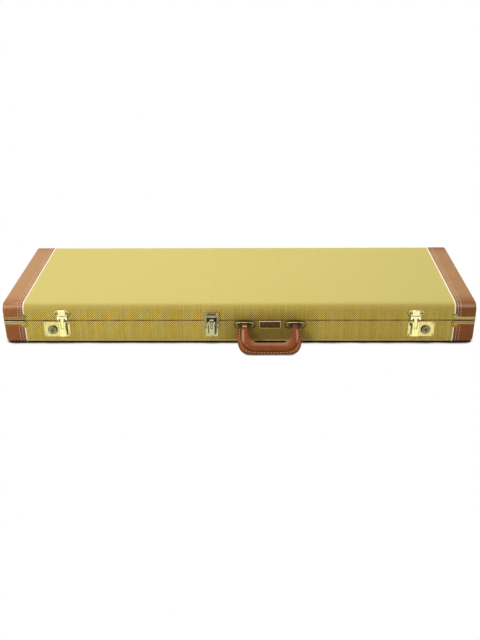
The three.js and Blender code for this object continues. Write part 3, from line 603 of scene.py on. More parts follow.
for half, body in bodies.items():
    settle(shell(f"{half}_tweed", half), body, "tweed_on_plywood", f"{half}_shell")
print("shells made:", 2)

# %% [markdown]
# A leather end is one skin, sewn to the tweed through the piping. It swells between the sewing lines and is
# drawn down along them: the case's own section with a small rise at each place, thickened by Solidify.

# %% Leather ends
def leather_rises(half):
    first, second = (row / mm for row in sewing_lines[half])
    return [(0, -0.9), (0.2, -0.25), (0.7, 0.3), (1.6, 0.7), (first - 1.8, 0.75), (first - 0.8, 0.5), (first, 0.2),
            (first + 0.8, 0.5), (first + 2, 0.8), (second - 2.2, 0.8), (second - 0.8, 0.5), (second, 0.2),
            (second + 0.8, 0.5), (second + 2.4, 0.75), (second + 5.4, 0.8), (24, 0.8)]


def leather_end(name, side, half, thickness=1.1):
    places = [(leather_edge + d, rise) for d, rise in leather_rises(half)]
    places += [(x, 0.8) for x in end_places(510)]
    points, uvs = [], []
    for x, out in places:
        line = half_section(x, out, half)
        past = min(max((x - (length / 2 - 6)) / 6, 0), 1)
        along = x + out * math.sin(past * math.pi / 2)
        points += [(side * along, y, z) for y, z in line]
        uvs += [(x - leather_edge, v) for v in run_lengths(line)]
    count = len(line)
    faces = [*quads(len(places), count), tuple(range(len(points) - count, len(points)))]
    skin = build(name, points, faces, end_leather[half], uvs)
    work = bmesh.new()
    work.from_mesh(skin.data)
    if max(work.faces, key=lambda face: len(face.verts)).normal.x * side < 0:
        bmesh.ops.reverse_faces(work, faces=work.faces)
    work.to_mesh(skin.data)
    work.free()
    thick = skin.modifiers.new("thickness", "SOLIDIFY")
    thick.thickness, thick.offset, thick.use_even_offset = thickness * mm, -1, False
    return plain_copy(skin)


for side_name, side, half, body in quarters:
    node = f"{half}_leather_{side_name}"
    settle(leather_end(f"{node}_skin", side, half), body, "leather", node)
print("leather ends made:", 4)

# %% [markdown]
# The piping is a round tube along the case's section, sunk a little into the seam and flat underneath.

# %% Piping
cord_radius, piping_rise, piping_stops = 1.65, 1.3, {"base": 39.4, "lid": 72.5}


def cord_along(name, path, radius, material, corners=12, across=(1, 0, 0), tip=0.55):
    rings = []
    for k, point in enumerate(path):
        tangent = Vector(path[min(k + 1, len(path) - 1)]) - Vector(path[max(k - 1, 0)])
        tangent.normalize()
        first = Vector(across)
        first = (first - tangent * first.dot(tangent)).normalized()
        second = tangent.cross(first)
        shrink = tip if k in (0, len(path) - 1) else 1
        rings.append([tuple(Vector(point) + (first * c + second * s) * radius * shrink)
                      for c, s, _ in circle(1, corners)])
    return stack(name, rings, material, sharp=70)


def piping(name, side, half):
    stop, way = piping_stops[half], to_seam[half]
    line = half_section(piping_middle, piping_rise - cord_radius, half, 10, 12, 40)
    line = [(y, max(z, cord_radius)) for y, z in line if (stop - z) * way > 0.6]
    y = width / 2 + piping_rise - cord_radius
    ends = [(y, stop), (y, stop - 0.5 * way)]
    line = [(-p, q) for p, q in ends] + line + list(reversed(ends))
    return cord_along(name, [(side * piping_middle, p, q) for p, q in line], cord_radius, piping_vinyl)


for side_name, side, half, body in quarters:
    node = f"{half}_piping_{side_name}"
    settle(piping(f"{node}_cord", side, half), body, "piping", node)
print("piping made:", 4)

# %% [markdown]
# Stitches, rivets and screws repeat, so Geometry Nodes set them out. One tree lays an oval of thread at each even
# step of a line, facing out of the leather; the other puts a given head on each point. Both end in real mesh.

# %% Trees for stitches and fasteners
def new_tree(name, *inputs):
    tree = bpy.data.node_groups.new(name, "GeometryNodeTree")
    for label, kind in (("Geometry", "Geometry"), *inputs, ("Material", "Material")):
        tree.interface.new_socket(label, in_out="INPUT", socket_type=f"NodeSocket{kind}")
    tree.interface.new_socket("Geometry", in_out="OUTPUT", socket_type="NodeSocketGeometry")
    add = functools.partial(add_node, tree)
    facing = add("GeometryNodeInputNamedAttribute", {"Name": "facing"}, data_type="FLOAT_VECTOR")
    return tree, add, add("NodeGroupInput"), facing[0]


def close_tree(tree, add, material, **sockets):
    laid = add("GeometryNodeInstanceOnPoints", sockets)
    real = add("GeometryNodeRealizeInstances", {"Geometry": laid[0]})
    painted = add("GeometryNodeSetMaterial", {"Geometry": real[0], "Material": material})
    add("NodeGroupOutput", {"Geometry": painted[0]})
    return tree


def stitch_tree():
    tree, add, given, facing = new_tree("stitches", ("Pitch", "Float"), ("Length", "Float"), ("Thread", "Float"))
    line = add("GeometryNodeMeshToCurve", {"Mesh": given["Geometry"]})
    even = add("GeometryNodeResampleCurve", {"Curve": line[0], "Length": given["Pitch"]}, mode="LENGTH")
    tangent = add("GeometryNodeInputTangent")
    lengthwise = add("FunctionNodeAlignRotationToVector", {"Vector": tangent[0]}, axis="X")
    outward = add("FunctionNodeAlignRotationToVector", {"Rotation": lengthwise[0], "Vector": facing}, axis="Z",
                  pivot_axis="X")
    oval = add("GeometryNodeMeshUVSphere", {"Segments": 8, "Rings": 5, "Radius": 1})
    size = add("ShaderNodeCombineXYZ", {"X": given["Length"], "Y": given["Thread"], "Z": given["Thread"]})
    return close_tree(tree, add, given["Material"], Points=even[0], Instance=oval[0], Rotation=outward[0],
                      Scale=size[0])


def fastener_tree():
    tree, add, given, facing = new_tree("fasteners", ("Head", "Object"), ("Size", "Float"), ("Seed", "Int"))
    outward = add("FunctionNodeAlignRotationToVector", {"Vector": facing}, axis="Z")
    turned = add("FunctionNodeRandomValue", {"Seed": given["Seed"]}, data_type="FLOAT")
    amount = add("ShaderNodeMath", {0: turned[1], 1: math.pi}, operation="MULTIPLY")
    spin = add("ShaderNodeCombineXYZ", {"Z": amount[0]})
    rotation = add("FunctionNodeRotateRotation", {"Rotation": outward[0], "Rotate By": spin[0]},
                   rotation_space="LOCAL")
    head = add("GeometryNodeObjectInfo", {"Object": given["Head"]})
    return close_tree(tree, add, given["Material"], Points=given["Geometry"], Instance=head["Geometry"],
                      Rotation=rotation[0], Scale=given["Size"])


def set_out(name, tree, points, facings, edges, **values):
    mesh = bpy.data.meshes.new(name)
    mesh.from_pydata([Vector(p) * mm for p in points], edges, [])
    attribute = mesh.attributes.new("facing", "FLOAT_VECTOR", "POINT")
    attribute.data.foreach_set("vector", [c for f in facings for c in f])
    line = placed(name, mesh)
    modifier = line.modifiers.new("set out", "NODES")
    modifier.node_group = tree
    for item in tree.interface.items_tree:
        if item.in_out == "INPUT" and item.name in values:
            modifier[item.identifier] = values[item.name]
    made = plain_copy(line)
    shaded(made.data, 50)
    return made


stitches, fasteners = stitch_tree(), fastener_tree()
print("trees:", stitches.name, "and", fasteners.name)

# %% [markdown]
# Two lines of stitches hold each leather end. They follow the skin's section, a hair above it, and stop short of
# the rails, where the real sewing disappears under the brass.

# %% Sewing of the ends
sewing_rise, sewing_stops = 0.45, {"base": 45, "lid": 68}


def outward_at(line, k):
    (a, b), (c, d) = line[max(k - 1, 0)][:2], line[min(k + 1, len(line) - 1)][:2]
    run = Vector((c - a, d - b)).normalized()
    return -run[1], run[0]


def sewing(name, side, half):
    points, facings, edges = [], [], []
    way = to_seam[half]
    for row in sewing_lines[half]:
        x, start = leather_edge + row / mm, len(points)
        line = half_section(x, sewing_rise, half, 10, 12, 60)
        line = [p for p in line if (sewing_stops[half] - p[1]) * way > 0]
        points += [(side * x, y, max(z, 0.5)) for y, z in line]
        facings += [(0, -y * way, -z * way) for y, z in (outward_at(line, k) for k in range(len(line)))]
        edges += [(start + k, start + k + 1) for k in range(len(line) - 1)]
    return set_out(name, stitches, points, facings, edges, Pitch=5.4 * mm, Length=2.2 * mm,
                   Thread=0.66 * mm, Material=thread)


for side_name, side, half, body in quarters:
    settle(sewing(f"{half}_sewing_{side_name}", side, half), body, "piping")
print("sewing lines made:", 8)

# %% [markdown]
# A turned piece is circles of changing radius, a pillow is an outline repeated smaller and higher until it closes
# in a dome, and a tile is a pillow with round corners on the front.

# %% Turned and domed pieces
x_way, y_way, z_way = (Vector(row) for row in Matrix.Identity(3))
flat_basis, side_basis = (x_way, y_way, z_way), (y_way, z_way, x_way)
front_basis, back_basis = (x_way, z_way, -y_way), (-x_way, z_way, y_way)


def stood(points, origin, basis):
    u, v, w = basis
    return [tuple(Vector(origin) + u * a + v * b + w * c) for a, b, c in points]


def turned_piece(name, profile, origin, material, segments, sharp=38, basis=front_basis):
    rings = [stood(circle(radius, segments, height), origin, basis) for radius, height in profile]
    return stack(name, rings, material, sharp, closed=profile[0] != profile[-1])


def pillow(name, outline, levels, origin, material, sharp=38, basis=front_basis):
    """levels are (share of the outline kept, height) from the back to the top of the dome."""
    u, v = np.mean(outline, axis=0)
    rings = [stood([(u + (a - u) * share, v + (b - v) * share, height) for a, b in outline], origin, basis)
             for share, height in levels]
    return stack(name, rings, material, sharp)


def rounded_box(half_wide, half_high, radius, steps=6):
    line = []
    for u, v, start in ((1, -1, -90), (1, 1, 0), (-1, 1, 90), (-1, -1, 180)):
        line += [(u * (half_wide - radius) + radius * math.cos(a), v * (half_high - radius) + radius * math.sin(a))
                 for a in angles(start, start + 90, steps)]
    return line


def tile(name, x, z, size, levels, material, out=0, **more):
    """size is half the width, half the height and the corner's radius."""
    return pillow(name, rounded_box(*size), levels, (x, front_y - out, z), material, **more)


def front_cord(name, path, radius, material):
    return cord_along(name, path, radius, material, 10, (0, 1, 0))


print("turned and domed pieces ready")

# %% [markdown]
# A slotted screw and a dome rivet, one millimetre in radius so that a tree can scale them.

# %% Screw and rivet heads
def screw_head():
    profile = [(0.9, -0.4), (1, 0), (0.98, 0.12), (0.8, 0.38), (0.5, 0.52), (0.15, 0.58)]
    head = turned_piece("screw_head", profile, (0, 0, 0), nickel, 18, basis=flat_basis)
    cutter = stack("slot", [[(-2, -0.14, z), (2, -0.14, z), (2, 0.14, z), (-2, 0.14, z)]
                            for z in (0.28, 2)], shadow_metal)
    cut = head.modifiers.new("slot", "BOOLEAN")
    cut.operation, cut.object, cut.solver = "DIFFERENCE", cutter, "EXACT"
    made = plain_copy(head)
    bpy.data.objects.remove(cutter)
    return made


rivet_profile = [(0.9, -0.4), (1, 0), (0.96, 0.16), (0.78, 0.4), (0.45, 0.58), (0.12, 0.64)]
screw = screw_head()
rivet = turned_piece("rivet_head", rivet_profile, (0, 0, 0), nickel, 16, basis=flat_basis)
for head in (screw, rivet):
    head.hide_render = True


def heads(name, head, size, places, material, seed, body, slot, facing=(0, -1, 0)):
    made = set_out(name, fasteners, places, [facing] * len(places), [], Head=head, Size=float(size), Seed=seed,
                   Material=material)
    settle(made, body, slot)


print("heads made: screw and rivet")

# %% [markdown]
# Brass rails close the seam round both ends: a pressed strip with a lobe at either tip, riveted through the
# leather, whose two long edges are rolled into beads that catch the light.

# %% Rails round the ends
def plan_line(side, out, start):
    reach, half_wide, corner = length / 2 + out, width / 2 + out, plan_corner + out
    line = [(start + (reach - corner - start) * k / 4, -half_wide) for k in range(4)]
    line += [(reach - corner + corner * math.sin(a), -half_wide + corner * (1 - math.cos(a)))
             for a in angles(0, 90, 8)]
    line += [(reach, -half_wide + corner + (half_wide - corner) * 2 * k / 12) for k in range(1, 6)]
    line += [(x, -y) for x, y in reversed(line[:13])]
    return [(side * x, y) for x, y in line]


def level_cords(side, out, start, heights, radius, material):
    return [cord_along("cord", [(x, y, z) for x, y in plan_line(side, out, start)], radius, material, 8,
                       (0, 0, 1), 1) for z in heights]


def both_faces(profile, x, z, material, segments):
    return [turned_piece("stud", profile, (x, y, z), material, segments, basis=basis)
            for y, basis in ((front_y, front_basis), (back_y, back_basis))]


dome = [(2.3, 1.4), (2.3, 1.8), (1.9, 2.25), (1.2, 2.5), (0.3, 2.6)]
well = [(3.3, 1.3), (3.3, 1.56), (3, 1.66), (0.3, 1.7)]
lobe_x, lobe_z = 482.4, {"base": 47.85, "lid": 65.8}
bead_heights = {"base": (48.9, 55.1), "lid": (60.3, 65.4)}
seam_shade_heights = {"base": (56.3, 56.3, 56.3), "lid": (57.9, 58.5, 59.1)}
rail_metals = {("left", "base"): (rail_brass, arch_brass), ("left", "lid"): (brown_brass, rail_brass),
               ("right", "base"): (tanned_brass, arch_brass), ("right", "lid"): (rail_brass, arch_brass)}
for side_name, side, half, body in quarters:
    node, (metal, bead_metal) = f"{half}_rail_{side_name}", rail_metals[side_name, half]
    dress(node, body, "rail_brass", 0.35, metal)
    for name, parts in (
            ("beads", level_cords(side, 1.25, 479, bead_heights[half], 0.62, bead_metal)),
            # a dark cord in the gap between the rails is painted shade
            ("groove", level_cords(side, 0.55, 480, seam_shade_heights[half], 0.6, shadow_metal)),
            ("rivets", both_faces(dome, side * lobe_x, lobe_z[half], bead_metal, 24)),
            ("rivet_wells", both_faces(well, side * lobe_x, lobe_z[half], dark_nickel, 28))):
        fit_together(f"{node}_{name}", parts, body, "rail_brass")
print("rails made:", 4)

# %% [markdown]
# The key latches are brass pressings. The keeper on the lid is a crown: a flat tongue under the cross head, and
# above it a domed shield with two wings, each with an eyelet whose hole is painted black as shade.

# %% Key latches
def smooth_outline(points, rounds=2):
    for _ in range(rounds):
        points = [tuple(a * (1 - t) + b * t for a, b in zip(p, q))
                  for p, q in zip(points, points[1:] + points[:1]) for t in (0.25, 0.75)]
    return points


def crown(name, x):
    shield = [(18.9, 74.4), (16.6, 78.8), (9.5, 82.3)]
    shield = smooth_outline([(-12.6, 67.9), (12.6, 67.9), *shield, (0, 82.9),
                             *[(-a, b) for a, b in reversed(shield)]])
    tongue = [(-11.2, 58.5), (11.2, 58.5), (11.2, 67), (12.6, 69), (12.6, 72), (-12.6, 72), (-12.6, 69), (-11.2, 67)]
    rim = sorted((x + a * 0.96, front_y - 1.7, 75 + (b - 75) * 0.96) for a, b in shield if b > 75.5)
    arc = [(x + u, front_y - 2.5, 80.9 - (u / 8.2) ** 2 * 1.4) for u in range(-8, 9, 2)]
    parts = [
        pillow("dome", shield, [(1, 0.1), (1, 1.1), (0.96, 1.5), (0.9, 1.5), (0.86, 1.2), (0.3, 1.3)],
               (x, front_y, 0), wing_brass, 30),
        tile("block", x, 74.3, (8, 5.6, 2.4), [(1, 1.1), (1, 2.7), (0.9, 3.4), (0.6, 3.8), (0.2, 3.9)],
             lever_brass, sharp=30),
        pillow("flat", tongue, [(1, 0.1), (1, 1.1), (0.97, 1.4), (0.1, 1.4)], (x, front_y, 0), latch_brass),
        # the arc is a painted highlight, and the crown's flanks are painted dark as shade
        front_cord("rim", rim, 0.7, pale_brass), front_cord("arc", arc, 0.9, highlight_brass)]
    return shade_painted(joined(name, parts), dark_nickel)


def eyelets(name, places, radius, out):
    """Holes painted black as shade, each with a thin bright rim."""
    ring = [(radius * 0.85, out - 0.6), (radius * 1.25, out - 0.6), (radius * 1.3, out + 0.1), (radius, out + 0.4),
            (radius * 0.9, out + 0.2), (radius * 0.85, out - 0.6)]
    hole = [(radius * 0.88, out - 0.8), (radius * 0.88, out + 0.05), (0.2, out + 0.1)]
    for kind, profile, metal, segments, sharp in (("rings", ring, arch_brass, 24, 60),
                                                  ("holes", hole, shadow_metal, 20, 38)):
        parts = [turned_piece(kind, profile, (x, front_y, z), metal, segments, sharp) for x, z in places]
        fit_together(f"{name}_{kind}", parts, "lid", "latch_brass")


def link_heel(name, x, half_wide, finish):
    return tile(name, x, 41.9, (half_wide, 2.4, 0.8), [(1, 6), (1, 7.1), (0.9, 7.3)], finish)


# Across and up from the latch's middle, size, levels and finish of the parts that make the band on the cross head, a
# painted highlight in near-white brass with painted shade in the gaps between its ends
end, gap = ((2, 2.3, 0.7), [(1, 2.6), (1, 3.4), (0.8, 3.7)]), ((1.9, 1.2, 0.8), [(1, 2.8), (1, 3.25), (0.8, 3.3)])
band_parts = [(0, 65.8, (11.4, 1.75, 1.3), [(1, 2.6), (1, 3.5), (0.95, 4), (0.8, 4.2)], highlight_brass),
              (-9.2, 61.6, *end, highlight_brass), (9.2, 61.6, *end, highlight_brass),
              (-5.6, 61.2, *gap, shadow_metal), (5.2, 61.2, *gap, shadow_metal)]
# Half width, half height, distance from the lever's middle, height and metal of each painted shade beside the levers;
# on the right latch one of them is a painted glint
painted_light_by_lever = {"left": [(1.4, 15.5, 8.8, 37, brown_shadow)],
          "right": [(0.8, 14, 8.2, 36.5, brown_shadow), (2.1, 3.4, 9.6, 47, shadow_metal),
                    (2.5, 1.1, 10.6, 42.6, highlight_brass)]}
crown_shade = ((19.3, 75.2), (19.5, 74), (16.4, 70.8), (13.2, 67.6), (11.9, 65.5), (11.8, 62), (11.8, 58.6))
screw_metals = {"left": verdigris, "right": brown_brass}
latch_x, eyelet_x, eyelet_z = 394.5, 12.6, 74.4
for side_name, side in sides.items():
    x, latch, slot = side * latch_x, f"{side_name}_latch", "latch_brass"
    lever, link = f"{latch}_lever", f"{latch}_link"
    settle(crown(f"{latch}_crown", x), "lid", slot, f"{latch}_keeper")
    eyelets(f"{latch}_crown", [(x - eyelet_x, eyelet_z), (x + eyelet_x, eyelet_z)], radius=2.3, out=1.5)
    dress(f"{latch}_plate", "case_base", slot, 0.3, latch_brass)
    # the lever's flanks are painted dark as shade
    dress(lever, lever, slot, 0.35, lever_brass, dark=brown_shadow)
    settle(link_heel(f"{link}_heel", x, 2.6, lever_brass), link, slot)
    dress(link, link, slot, 0.3, lever_brass)
    fit_together(f"{link}_band", [tile("band", x + u, z, *rest) for u, z, *rest in band_parts], link, slot)
    parts = [tile("guard", x - side * beside, z, (wide, high, 0.7), [(1, 1.3), (1, 2.4), (0.7, 2.7)], metal)
             for wide, high, beside, z, metal in painted_light_by_lever[side_name]]
    fit_together(f"{latch}_plate_guard", parts, "case_base", slot)
    # a dark cord along the crown's inner side is its painted shadow
    shade = [(x - side * a, front_y - 0.7, z) for a, z in crown_shade]
    settle(cord_along(f"{latch}_crown_edge", shade, 1.1, brown_shadow, 8), "lid", slot)
    corners = [(x + side * a, front_y - 1.5, z) for a in (-12.6, 40.4) for z in (20.6, 51.4)]
    heads(f"{latch}_plate_screws", screw, 2, corners, screw_metals[side_name], 3, "case_base", "nickel")
print("key latches made:", 2)

# %% [markdown]
# A turned collar of dark nickel, and inside it the key plug, whose keyhole is painted black as shade: a round hole
# over a slot.

# %% Locks
collar = [(7.5, 1.6), (10.9, 1.6), (10.9, 2.5), (10.4, 3.1), (10.2, 4.1), (9.6, 4.7), (8.8, 4.75), (8.2, 4.2),
          (7.9, 3.6), (7.5, 3.5), (7.5, 1.6)]
keyhole = [(1.75 * math.cos(a), 0.4 + 1.75 * math.sin(a)) for a in angles(-60, 240, 16)]
keyhole += [(-0.7, -2.7), (0.7, -2.7)]
lock_x, lock_z, shade_radius = 418.5, 34.5, 10.4
for side_name, side in sides.items():
    x, z, latch = side * lock_x, lock_z, f"{side_name}_latch"
    settle(turned_piece(f"{latch}_lock_collar", collar, (x, front_y, z), dark_nickel, 40, 50), "case_base",
           "nickel")
    dress(f"{latch}_lock_plug", f"{latch}_lock", "nickel", 0.25, grey_nickel)
    # the keyhole is a black shape on the plug, painted shade
    settle(pillow(f"{latch}_keyhole", keyhole, [(1, 4.6), (1, 5.12), (0.5, 5.16)], (x, front_y, z),
                  shadow_metal), f"{latch}_lock", "nickel")
    arc = [(x - side * shade_radius * math.cos(a), front_y - 3.9, z + shade_radius * math.sin(a))
           for a in angles(-25, 80, 12)]
    settle(cord_along(f"{latch}_lock_shade", arc, 1.15, shadow_metal, 8, (0, 1, 0)), "case_base", "nickel")
print("locks made:", 2)

# %% [markdown]
# The draw latch near the middle is nickel plated. Its keeper is a frame with raised side rails and a bar on top,
# and the cross head pulls down on the lip inside a window painted black as shade.

# %% Middle latch
mid_x, both = -59.4, (-1, 1)
tilted = (x_way, Vector((0, 0.75, 0.66)), Vector((0, -0.66, 0.75)))
lever, link = "middle_latch_lever", "middle_latch_link"
# the flanks of the keeper and of the lever are painted dark as shade
dress("middle_latch_keeper", "lid", "nickel", 0.35, nickel, dark=dark_nickel)
dress("middle_latch_plate", "case_base", "nickel", 0.3, pale_nickel)
dress(lever, lever, "nickel", 0.35, pale_nickel, dark=shadow_metal)
settle(link_heel(f"{link}_heel", mid_x, 2.1, pale_nickel), link, "nickel")
dress(link, link, "nickel", 0.3, nickel)
shoulder = [(-2.1, -9.6), (2.1, -7.6), (2.1, 8.6), (1.4, 9.4), (-2.1, 9.4)]
hollow = [(-8.8, 52), (-8.8, 28), (-7.4, 23.5), (-3.8, 20.4), (0, 19.6), (4.2, 20.4), (8.6, 23.5), (10.6, 28),
          (10.6, 52)]
for name, body, parts in (
        # the neck and the strip under the tongue are painted black as shade
        ("link_tongue", link, [
            tile("neck", mid_x, 62.7, (2.9, 1.9, 0.5), [(1, 1.8), (1, 3.35), (0.9, 3.45)], shadow_metal),
            tile("tongue", mid_x, 58.5, (4.6, 2.2, 1), [(1, 0.1), (1, 1.2), (0.92, 1.5), (0.4, 1.7)],
                 pale_nickel, 3.6, basis=tilted),
            tile("notch", mid_x, 56.55, (4.7, 0.75, 0.3), [(1, 0.1), (1, 1.25), (0.9, 1.35)], shadow_metal, 5.8,
                 basis=tilted)]),
        # the window is painted black and the top bar dark, as shade in the recesses
        ("window", "lid", [
            tile("window", mid_x, 61.2, (10.8, 3.7, 1), [(1, 0.3), (1, 1.7), (0.9, 1.85)], shadow_metal),
            tile("top_bar", mid_x, 73.8, (9.8, 2.9, 0.9), [(1, 3.9), (1, 4.4), (0.9, 4.5)], dark_nickel)]),
        # a black strip along the plate's top is painted shade
        ("plate_sill", "case_base", [
            tile("sill", mid_x, 54.3, (10.6, 2.6, 0.6), [(1, 0.2), (1, 1.6), (0.9, 1.7)], shadow_metal)]),
        ("keeper_ribs", "lid", [
            cord_along("rib", [(mid_x + s * 13.8, front_y - 4.2, z) for z in (59.4, 61, 66, 71, 75, 76.2)], 0.9,
                       pale_nickel, 10) for s in both]),
        ("plate_shoulders", "case_base", [
            pillow("shoulder", [(s * a, b) for a, b in shoulder], [(1, 0.2), (1, 2.6), (0.86, 3.1), (0.6, 3.2)],
                   (mid_x + s * 13.2, front_y, 46.4), nickel) for s in both])):
    fit_together(f"middle_latch_{name}", parts, body, "nickel")
for part, body, apart, out, levels, seed in (("keeper", "lid", 13.6, 4.3, (62.2, 72.6), 5),
                                             ("plate", "case_base", 13.2, 3.1, (41.5, 52.4), 6)):
    places = [(mid_x + s * apart, front_y - out, z) for s in both for z in levels]
    heads(f"middle_latch_{part}_screws", screw, 1.5, places, dark_nickel, seed, body, "nickel")
# the hollow round the lever is painted dark as shade
settle(pillow("middle_latch_plate_hollow", hollow, [(1, 1.4), (1, 1.6), (0.96, 1.62)], (mid_x, front_y, 0),
              dark_nickel), "case_base", "nickel")
print("middle latch made")

# %% [markdown]
# The handle's middle line is a U, and an oval swept along it thickens towards the grip. Outside it the two
# layers of leather go on as a flat flange, sewn through.

# %% Handle
pivot_height, pivot_out, rest_height = 48.6, 8, 1.6765
handle_reach, arm_x, handle_x = 73, 56.5, 70.7
droop = math.asin((pivot_height - rest_height) / handle_reach)
down_way = Vector((0, -math.cos(droop), -math.sin(droop)))
face_way = Vector((0, -math.sin(droop), math.cos(droop)))
pivot = Vector((handle_x, front_y - pivot_out, pivot_height))


def on_handle(u, t, n):
    return tuple(pivot + x_way * u + down_way * t + face_way * n)


def u_line(start, half_wide=arm_x, reach=52.6, wide=29, tall=37, square=0.85):
    line = [(-half_wide, start + (reach - tall - start) * k / 10) for k in range(10)]
    line += [(-half_wide + wide * (1 - abs(math.cos(a)) ** square), reach - tall + tall * math.sin(a) ** square)
             for a in angles(0, 90, 12)]
    line += [(-(half_wide - wide) * (1 - k / 8), reach) for k in range(1, 9)]
    return line + [(-u, t) for u, t in reversed(line[:-1])]


def handle_size(k, count):
    share = min(k, count - 1 - k) / (count / 2)
    grown = min(max((share - 0.12) / 0.6, 0), 1)
    grown = grown * grown * (3 - 2 * grown)
    return 7.6 + 2.9 * grown, 3.3 + 2.1 * grown


def handle_core():
    line, rings = u_line(1.5), []
    for k, (u, t) in enumerate(line):
        half_wide, deep = handle_size(k, len(line))
        webbed = 1 + 0.34 * sum(math.exp(-((k - at) / 4) ** 2) for at in (16, len(line) - 17))
        side_u, side_t = outward_at(line, k)
        ring = []
        for c, d, _ in circle(1, 28):
            c = math.copysign(abs(c) ** 0.9, c) * half_wide * (webbed if c < 0 else 1)
            ring.append(on_handle(u + side_u * c, t + side_t * c, d * deep))
        rings.append(ring)
    return stack("core", rings, handle_leather, 60)


def flange_pairs():
    return list(zip(u_line(11), [(u - 1.2, t) for u, t in u_line(11, 70.9, 69.4, 26)]))


def on_flange(pair, share, n):
    (u, t), (p, q) = pair
    return on_handle(u + (p - u) * share, t + (q - t) * share, n)


def handle_flange():
    edge = ((0.2, 1.4), (0.8, 1.4), (0.95, 1.25), (1, 0.7))
    edge += tuple((share, -n) for share, n in reversed(edge))
    return stack("flange", [[on_flange(pair, *place) for place in edge] for pair in flange_pairs()],
                 handle_leather, 60)


# The eyes are painted near-black, as shade under the mounts' hoods.
def arm_eyes():
    eye = [(2.6, -7.6), (4.3, -7.4), (4.5, -6.6), (4.5, 6.6), (4.3, 7.4), (2.6, 7.6), (2.6, -7.6)]
    return [turned_piece("eye", eye, on_handle(s * arm_x, 0, 0), eye_shade_leather, 28, 50, side_basis) for s in both]


# A dark cord is painted shade in the crease between the core and the flange.
def handle_crease(n):
    line, path = u_line(1.5), []
    for k in range(6, len(line) - 6):
        (u, t), (side_u, side_t) = line[k], outward_at(line[6:-6], k - 6)
        rise = handle_size(k, len(line))[0] + 0.5
        path.append(on_handle(u + side_u * rise, t + side_t * rise, n))
    return cord_along("crease", path, 0.7, crease_shade_leather, 8, tuple(face_way))


def handle_sewing(name, n):
    pairs, points = flange_pairs(), []
    for k, pair in enumerate(pairs):
        span = math.dist(*pair)
        half_wide = handle_size(k, len(pairs))[0]
        points.append(on_flange(pair, (half_wide + (span - half_wide) * 0.5) / span, n))
    facings = [tuple(face_way * math.copysign(1, n))] * len(points)
    edges = [(k, k + 1) for k in range(len(points) - 1)]
    return set_out(name, stitches, points, facings, edges, Pitch=6.9 * mm, Length=2 * mm, Thread=0.7 * mm,
                   Material=brown_thread)


fit_together("handle_leather_grip", [handle_core(), handle_flange(), *arm_eyes()], "handle", "leather",
             "handle_grip")
flaps = [pillow("fold", rounded_box(5.2, high, 0.8), [(1, 3), (1, 3.6), (0.92, 3.85), (0.6, 3.95)],
                on_handle(s * arm_x, 3.1, 0), finish, basis=(x_way, down_way, face_way))
         for s, high, finish in ((-1, 2.4, raw_edge), (1, 1.4, tab_leather))]
fit_together("handle_arm_folds", flaps, "handle", "leather")
fit_together("handle_creases", [handle_crease(n) for n in (1.45, -1.45)], "handle", "leather")
rows = [handle_sewing(name, n) for name, n in (("upper_row", 1.5), ("lower_row", -1.5))]
fit_together("handle_sewing", rows, "handle", "leather")
print("handle made")

# %% [markdown]
# Each mount is an oval plate in dark brass, riveted at both ends, with a rubbed arch over an opening painted black as
# shade.

# %% Handle mounts
for mount_name, x in (("left", handle_x - arm_x), ("right", handle_x + arm_x)):
    node, slot = f"handle_mount_{mount_name}", "aged_brass"
    # the hood over the arm is painted black as shade
    dress(node, "case_base", slot, 0.3, aged_brass, dark=shadow_metal,
          chosen=lambda middle, normal: abs(middle.x - x) < 12.4 and front_y - middle.y > 1.9)
    arch = [(x + 21.5 * math.cos(a), front_y - 2.2 - 5.4 * math.sin(a) ** 3, 47.2 + 8 * math.sin(a) ** 0.8)
            for a in angles(172, 8, 24)]
    settle(front_cord(f"{node}_arch", arch, 1, arch_brass), "case_base", slot)
    oval = [(12.2 * a, 5.2 * b) for a, b, _ in circle(1, 32)]
    settle(pillow(f"{node}_opening", oval, [(1, 1.6), (1, 1.95), (0.9, 2)], (x, front_y, 47.4), shadow_metal),
           "case_base", slot)
    studs = [(x + s * 17, front_y - 3, 45.7) for s in both]
    heads(f"{node}_rivets", rivet, 2.6, studs, brown_brass, 7, "case_base", slot)
print("handle mounts made:", 2)

# %% [markdown]
# A small plate with a raised pale frame round an enamelled field, and the field stays bare.

# %% Badge
settle(tile("badge_enamel", handle_x, 46.7, (22.7, 7.9, 1.8), [(1, 1.1), (1, 1.82), (0.97, 1.92), (0.3, 1.96)],
            enamel), "case_base", "badge")
settle(tile("badge_rim", handle_x, 55.3, (24.2, 0.8, 0.7), [(1, 0.3), (1, 1.9), (0.95, 2.3), (0.8, 2.4)],
            pale_brass), "case_base", "badge")
dress("badge_plate", "case_base", "badge", 0.3, arch_brass)
print("badge made")

# %% [markdown]
# On the back are three hinges, with three screws in each leaf, and four glides, the feet that the case stands on
# when it is set down upright.

